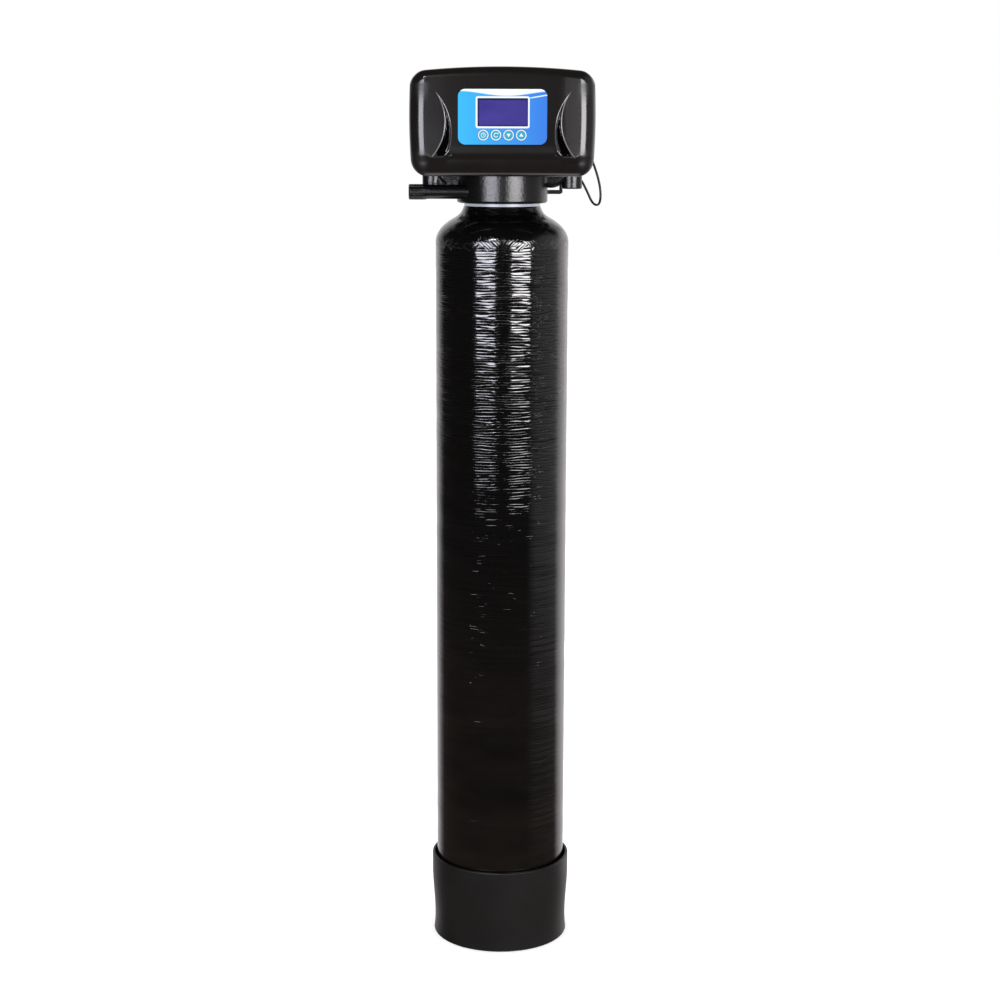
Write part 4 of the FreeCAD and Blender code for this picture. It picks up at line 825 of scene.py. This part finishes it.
def reach(cosine, sine, test):
    """Radius on each ray from the face's middle where the test first turns positive."""
    low = np.full_like(cosine, 5.0)
    high = np.full_like(cosine, 160.0)
    for _ in range(40):
        middle = (low + high) / 2
        out = test(face_middle[0] + middle * cosine, face_middle[1] + middle * sine) > 0
        high = np.where(out, middle, high)
        low = np.where(out, low, middle)
    return (low + high) / 2


def label_distance(x, z, inset=1.2):
    """Distance outside the label's outline, drawn in by the inset."""
    r = label_round - inset
    dx = np.abs(x - label_middle[0]) - (label_size[0] / 2 - inset - r)
    dz = np.abs(z - label_middle[1]) - (label_size[1] / 2 - inset - r)
    away = np.hypot(np.clip(dx, 0, None), np.clip(dz, 0, None)) - r
    return away + np.minimum(np.maximum(dx, dz), 0)


def circle_through(a, b, c):
    """Centre and radius of the circle through three points."""
    ax, az = a
    bx, bz = b
    cx, cz = c
    d = 2 * (ax * (bz - cz) + bx * (cz - az) + cx * (az - bz))
    ux = ((ax**2 + az**2) * (bz - cz) + (bx**2 + bz**2) * (cz - az) + (cx**2 + cz**2) * (az - bz)) / d
    uz = ((ax**2 + az**2) * (cx - bx) + (bx**2 + bz**2) * (ax - cx) + (cx**2 + cz**2) * (bx - ax)) / d
    return (ux, uz), math.hypot(ax - ux, az - uz)


outer_circle = circle_through(*crescent_outer)
inner_circle = circle_through(*crescent_inner)


def smooth(value, low, high):
    t = np.clip((value - low) / (high - low), 0, 1)
    return t * t * (3 - 2 * t)


def crease(across):
    """Height of the crease between the face and the chin, at a distance from the middle."""
    falling = foot_start[1] - foot_slope * (across - foot_start[0])
    low = np.clip(falling, foot_height, crease_height)
    return low + (wing_crease_height - foot_height) * smooth(across, 79.0, 86.0)


def crescent_sides(across, z):
    """Distances into a crescent from its inner edge, its outer edge and its foot."""
    (ix, iz), inner_radius = inner_circle
    (ox, oz), outer_radius = outer_circle
    from_inner = inner_radius - np.hypot(across - ix, z - iz)
    from_outer = np.hypot(across - ox, z - oz) - outer_radius
    return from_inner, from_outer, z - crease(across)


def face_depth(x, z):
    """How far the moulded face lies behind its front plane, without the rounding of its edge."""
    across = np.abs(x - crescent_shift)
    turned = np.clip(across - wing_start, 0, wing_turn)
    slope = np.where(x < crescent_shift, wing_slopes[0], wing_slopes[1])
    depth = slope * (turned ** 2 / (2 * wing_turn) + np.clip(across - wing_start - wing_turn, 0, None))
    from_inner, from_outer, from_foot = crescent_sides(across, z)
    into = np.minimum(np.minimum(from_inner, from_outer), from_foot)
    into = np.where(z > crescent_tip_height, -1.0, into)
    by_inner = from_inner < from_outer
    width = np.where(by_inner, inner_lip[0], outer_lip[0])
    bend = np.where(by_inner, inner_lip[1], outer_lip[1])
    wall = smooth(into, width, width + wall_run)
    soft = np.clip(smooth(z, 966.0, 992.0) + np.exp(-((z - 945.5) / 2.4) ** 2), 0.22, 1.0)
    lip = np.clip(into, 0, width) ** 2 / (2 * bend) * np.where(by_inner, soft, 1.0)
    depth = depth + lip * (1 - wall) + recess_depth * wall
    below = crease(across) - z
    depth = depth + chin_step * smooth(below, 0.0, chin_run)
    return np.maximum(depth, -0.35 * smooth(np.abs(x), 50.0, 54.0))


def ring_radii(start, end, cosine, sine):
    """Face rings for one ray, closer together where it crosses a crescent's edges."""
    r = np.linspace(start, end, 500)
    x = face_middle[0] + r * cosine
    z = face_middle[1] + r * sine
    across = np.abs(x - crescent_shift)
    from_inner, from_outer, from_foot = crescent_sides(across, z)
    near = np.exp(-(from_inner / 1.6) ** 2) * (from_outer > -4) * (from_foot > -4)
    near = near + np.exp(-(from_outer / 1.6) ** 2) * (from_inner > -4) * (from_foot > -4)
    near = near + np.exp(-((z - crease(across) + 1.0) / 2.0) ** 2)
    weight = 1.0 + 2.6 * np.clip(near, 0, 1.4)
    total = np.concatenate([[0.0], np.cumsum((weight[1:] + weight[:-1]) / 2)])
    return np.interp(np.linspace(0, total[-1], face_rings), total, r)


def window_loops():
    """Openings of the cover's face: the window and the keys."""
    loops = [rounded_rectangle(screen_middle, (screen_size[0] + 1.6, screen_size[1] + 1.6), 0.6)]
    for x in key_xs:
        loops.append(circle(x, key_z, key_radius + 0.3))
    return loops


def cover_rays():
    """Directions of the cover's rays from the face's middle, closer together towards its sides."""
    fine = np.linspace(0, 2 * math.pi, 4001)
    density = np.cumsum(1 + 1.2 * np.cos(fine) ** 2)
    density = (density - density[0]) / (density[-1] - density[0])
    phi = np.interp(np.arange(cover_columns) / cover_columns, density, fine)
    return np.cos(phi), np.sin(phi)


def cover_back(outline, sine):
    """Where the side ends on each ray: at the seam, or at the round notch over the collar."""
    back = np.full(cover_columns, cover_seam)
    under = (sine < 0) & (np.abs(outline[:, 0]) < math.sqrt(notch_radius ** 2 - cover_seam ** 2))
    under &= outline[:, 2] < cover_bottom + 2
    back[under] = -np.sqrt(notch_radius ** 2 - outline[under, 0] ** 2)
    return back


def cover_rings(cosine, sine):
    """Rings of the cover: from under the label over the face and the side, then back inside."""
    def at(r, y):
        return np.stack([face_middle[0] + r * cosine, y, face_middle[1] + r * sine], 1)

    def level_radius(level, inset=0.0):
        return reach(cosine, sine, lambda x, z: edge_level(x, z, inset) - level)

    def face_ring(r, level=0.0):
        x = face_middle[0] + r * cosine
        z = face_middle[1] + r * sine
        return at(r, cover_front + face_depth(x, z) + rounding_drop(x, z, level))

    label = reach(cosine, sine, label_distance)
    flat_end = level_radius(0.02)
    radii = np.stack([ring_radii(a, b, c, s) for a, b, c, s in zip(label, flat_end, cosine, sine)], 1)
    rings = [face_ring(r) for r in radii]
    rings[0][:, 1] = cover_front
    for i in range(1, rounding_rings + 1):
        level = max(0.04, math.sin(math.pi / 2 * i / rounding_rings))
        rings.append(face_ring(level_radius(level), level))
    outline = rings[-1]
    back = cover_back(outline, sine)
    r_out = level_radius(1.0)
    for i in range(1, side_rings + 1):
        rings.append(at(r_out, outline[:, 1] + (back - 0.4 - outline[:, 1]) * i / side_rings))
    rings.append(at(r_out - 0.35, back))
    rings.append(at(level_radius(1.0, cover_wall), back))
    inner_front = cover_front + cover_wall + 5.0
    for level in (1.0, 0.9, 0.7, 0.4, 0.02):
        drop = 5.5 * (1 - math.sqrt(1 - level * level))
        y = np.minimum(np.full(cover_columns, inner_front + drop), back - 0.5)
        rings.append(at(level_radius(level, cover_wall), y))
    rings.append(at(label + 3.0, np.full(cover_columns, inner_front)))
    rings.append(at(label, np.full(cover_columns, cover_front + cover_wall)))
    return rings


def make_cover(material):
    """The cover's rings, closed under the label by a plate with the window and the key holes."""
    rings = cover_rings(*cover_rays())
    points = np.concatenate(rings)
    faces = ring_faces(len(rings), cover_columns, flip=True)
    last_ring = (len(rings) - 1) * cover_columns
    holes = window_loops()
    hole_points = np.array([p for loop in holes for p in loop])
    count = len(hole_points)
    front_start = len(points)
    front_layer = np.stack([hole_points[:, 0], np.full(count, cover_front), hole_points[:, 1]], 1)
    points = np.concatenate([points, front_layer, front_layer + (0, cover_wall, 0)])

    def index(i, ring, layer):
        return ring + i if i < cover_columns else layer + i - cover_columns

    label_loop = [tuple(p) for p in rings[0][:, [0, 2]]]
    for triangle in fill([label_loop] + holes):
        faces.append(tuple(index(i, 0, front_start) for i in triangle))
        faces.append(tuple(index(i, last_ring, front_start + count) for i in triangle[::-1]))
    start = front_start
    for loop in holes:
        for i in range(len(loop)):
            a = start + i
            b = start + (i + 1) % len(loop)
            faces.append((a, b, b + count, a + count))
        start += len(loop)
    cover = make_object("head_front_cover", points, faces, BODY, material, 55.0)
    fix_normals(cover)
    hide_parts("front_cover")


def make_connector(name, side, material):
    """Pipe connector with a real helical thread, made about its own axis along Y."""
    columns = 96
    steps = 9
    rows = []
    angles = np.arange(columns) * 2 * math.pi / columns
    turns = (thread_end - thread_start) / thread_pitch
    y_thread = np.linspace(thread_start, thread_end, int(turns * steps))

    def ring(radius, y):
        return np.stack([side * port_x + radius * np.cos(angles), np.full(columns, y),
                         port_z + radius * np.sin(angles)], 1)

    for radius, y in [(bore_radius, insert_start), (insert_radius - 0.5, insert_start),
                      (insert_radius, insert_start + 0.5), (insert_radius, flange_start - 0.2),
                      (insert_radius, flange_start), (flange_radius - 0.5, flange_start),
                      (flange_radius, flange_start + 0.5), (flange_radius, thread_start - 0.6),
                      (flange_radius - 0.6, thread_start)]:
        rows.append(ring(radius, y))
    for y in y_thread:
        phase = (y / thread_pitch - angles / (2 * math.pi)) % 1.0
        tooth = np.clip(2.35 * np.abs(phase - 0.5) - 0.12, 0, 1)
        fade = min(1.0, (y - thread_start) / 2.0, (thread_end - y) / 1.4)
        lead_in = max(0.0, 1.2 - (thread_end - y)) * 0.9
        rows.append(ring(thread_radius - thread_depth * tooth * max(0.0, fade) - lead_in
                         - 0.25 * (1 - max(0.0, fade)), y))
    rows.append(ring(bore_radius + 0.6, thread_end))
    rows.append(ring(bore_radius, thread_end - 0.6))
    points = np.concatenate(rows)
    faces = ring_faces(len(rows), columns, closed=True)
    made = make_object(name + "_threaded", points, faces, BODY, material, 50.0)
    fix_normals(made)
    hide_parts(name)


def triangle_loop(x, z, up):
    """A plain triangle that points up or down."""
    outline = [(0.0, 2.2), (-2.3, -1.5), (2.3, -1.5)]
    return [(x + px, z + (pz if up else -pz)) for px, pz in outline]


def icon_loops(kind, x, z):
    """Generic signs for the keys: a clock, a turning arrow and two triangles."""
    if kind == "clock":
        hands = [(x - 0.3, z + 1.7), (x - 0.3, z - 0.3), (x + 1.3, z - 0.3), (x + 1.3, z + 0.25),
                 (x + 0.3, z + 0.25), (x + 0.3, z + 1.7)]
        return [circle(x, z, 2.7, 40), circle(x, z, 2.1, 40), hands]
    if kind == "turn":
        outer = []
        inner = []
        for i in range(25):
            a = math.radians(60 + 270 * i / 24)
            outer.append((x + 2.5 * math.cos(a), z + 2.5 * math.sin(a)))
            inner.append((x + 1.8 * math.cos(a), z + 1.8 * math.sin(a)))
        head = [(x + 2.9, z + 1.1), (x + 0.9, z + 1.5), (x + 2.6, z + 3.1)]
        return [outer + inner[::-1], head]
    return [triangle_loop(x, z, kind == "up")]


def make_keys(materials):
    keys = ["menu", "manual", "down", "up"]
    kinds = ["clock", "turn", "down", "up"]
    for key, kind, x in zip(keys, kinds, key_xs):
        ring = [circle(x, key_z, key_radius - 0.12, 64), circle(x, key_z, key_radius - 1.15, 64)]
        plate(key + "_ring", ring, key_face - 0.06, key_face + 0.05, key + "_button",
              materials["white_print"])
        plate(key + "_sign", icon_loops(kind, x, key_z), key_face - 0.06, key_face + 0.05, key + "_button",
              materials["white_print"])


def make_lcd_frame(materials):
    """White printed frame round the window."""
    outer = rounded_rectangle((0.2, 990.0), (60.0, 34.9), 2.4)
    inner = rounded_rectangle(screen_middle, (56.1, 30.8), 0.7)
    plate("window_frame_print", [outer, inner], film_front - 0.12, film_front, BODY,
          materials["white_print"])


def dress_nodes(materials):
    """Each CAD node that stays gets the material of its slot, apart from the injector screws, which get
    blackened steel.
    """
    for part in frame["record"]["subparts"]:
        node = nodes[part["node"]]
        node.data.materials.clear()
        slot = "dark_screw" if part["node"] == "injector_screws" else part["material_slot"]
        node.data.materials.append(materials[slot])


def make_floor():
    mesh = bpy.data.meshes.new("floor")
    mesh.from_pydata([(-12, -12, 0), (12, -12, 0), (12, 12, 0), (-12, 12, 0)], [], [(0, 1, 2, 3)])
    graph = Graph("studio_floor", Roughness=0.9, Specular_IOR_Level=0.0,
                  Emission_Color=(1.0, 1.0, 1.0, 1.0), Emission_Strength=0.30)
    soft = graph.noise(graph.coords, 1.5, 2.0)
    graph.colour(graph.blend(soft, (0.93, 0.93, 0.93), (0.96, 0.96, 0.96)))
    mesh.materials.append(graph.material)
    floor = bpy.data.objects.new("floor", mesh)
    link(floor)
    floor.visible_glossy = False


def make_world():
    """White surroundings for what is seen and for diffuse light, a dim studio in reflections."""
    world = bpy.data.worlds.new("studio")
    bpy.context.scene.world = world
    world.use_nodes = True
    world.cycles.sampling_method = "NONE"
    tree = world.node_tree
    coords = tree.nodes.new("ShaderNodeTexCoord")
    split = tree.nodes.new("ShaderNodeSeparateXYZ")
    tree.links.new(coords.outputs["Generated"], split.inputs[0])
    corner = tree.nodes.new("ShaderNodeMath")
    tree.links.new(split.outputs["X"], corner.inputs[0])
    tree.links.new(split.outputs["Y"], corner.inputs[1])
    directions = {"x": split.outputs["X"], "y": split.outputs["Y"], "z": split.outputs["Z"],
                  "x + y": corner.outputs[0]}

    def mixed(share, under, over):
        mix = tree.nodes.new("ShaderNodeMix")
        mix.data_type = "RGBA"
        tree.links.new(share, mix.inputs[0])
        for socket, colour in ((mix.inputs[6], under), (mix.inputs[7], over)):
            if isinstance(colour, tuple):
                socket.default_value = (*colour, 1.0)
            else:
                tree.links.new(colour, socket)
        return mix.outputs[2]

    light = dim_studio
    for direction, start, full, colour in studio_layers:
        share = tree.nodes.new("ShaderNodeMapRange")
        share.interpolation_type = "SMOOTHSTEP"
        share.inputs["From Min"].default_value = start
        share.inputs["From Max"].default_value = full
        tree.links.new(directions[direction], share.inputs["Value"])
        light = mixed(share.outputs[0], light, colour)
    path = tree.nodes.new("ShaderNodeLightPath")
    seen = mixed(path.outputs["Is Glossy Ray"], (1.0, 1.0, 1.0), light)
    tree.links.new(seen, tree.nodes["Background"].inputs["Color"])


def area_light(name, place, target, width, height, power, colour=(1.0, 1.0, 1.0), diffuse=False,
               glossy=True):
    data = bpy.data.lights.new(name, "AREA")
    data.shape = "RECTANGLE"
    data.size = width
    data.size_y = height
    data.energy = power
    data.color = colour
    light = bpy.data.objects.new(name, data)
    light.location = place
    light.rotation_mode = "QUATERNION"
    light.rotation_quaternion = (Vector(target) - Vector(place)).to_track_quat("-Z", "Y")
    light.visible_camera = False
    light.visible_diffuse = diffuse
    light.visible_glossy = glossy
    light.visible_transmission = False
    link(light)
    return light


def make_lights():
    for name, degrees, power, colour in softboxes:
        a = math.radians(degrees)
        place = (softbox_distance * math.sin(a), -softbox_distance * math.cos(a), softbox_height)
        area_light(name, place, (0.0, 0.0, softbox_height), *softbox_size, power, colour)
    area_light("kicker", (-0.44, -1.39, 1.67), (-0.0876, -0.075, 1.0268), 0.22, 0.22, 9.0)
    area_light("rim_strip", (-0.30, -1.5, 1.42), (0.0, -0.075, 1.03), 0.5, 0.10, 0.4, (1.0, 0.86, 0.75))
    area_light("overhead", (0.0, 0.0, 4.0), (0.0, 0.0, 0.0), 4.0, 4.0, 40.0, diffuse=True, glossy=False)


def main():
    bpy.context.scene.view_settings.view_transform = "Standard"
    make_camera()
    materials = make_materials()
    make_lead(materials["lead_sheath"])
    dress_nodes(materials)
    make_tank(materials["wound_shell"])
    make_cover(materials["cover_plastic"])
    make_connector("inlet_connector", -1, materials["valve_plastic"])
    make_connector("outlet_connector", 1, materials["valve_plastic"])
    make_keys(materials)
    make_lcd_frame(materials)
    make_floor()
    make_world()
    make_lights()


main()
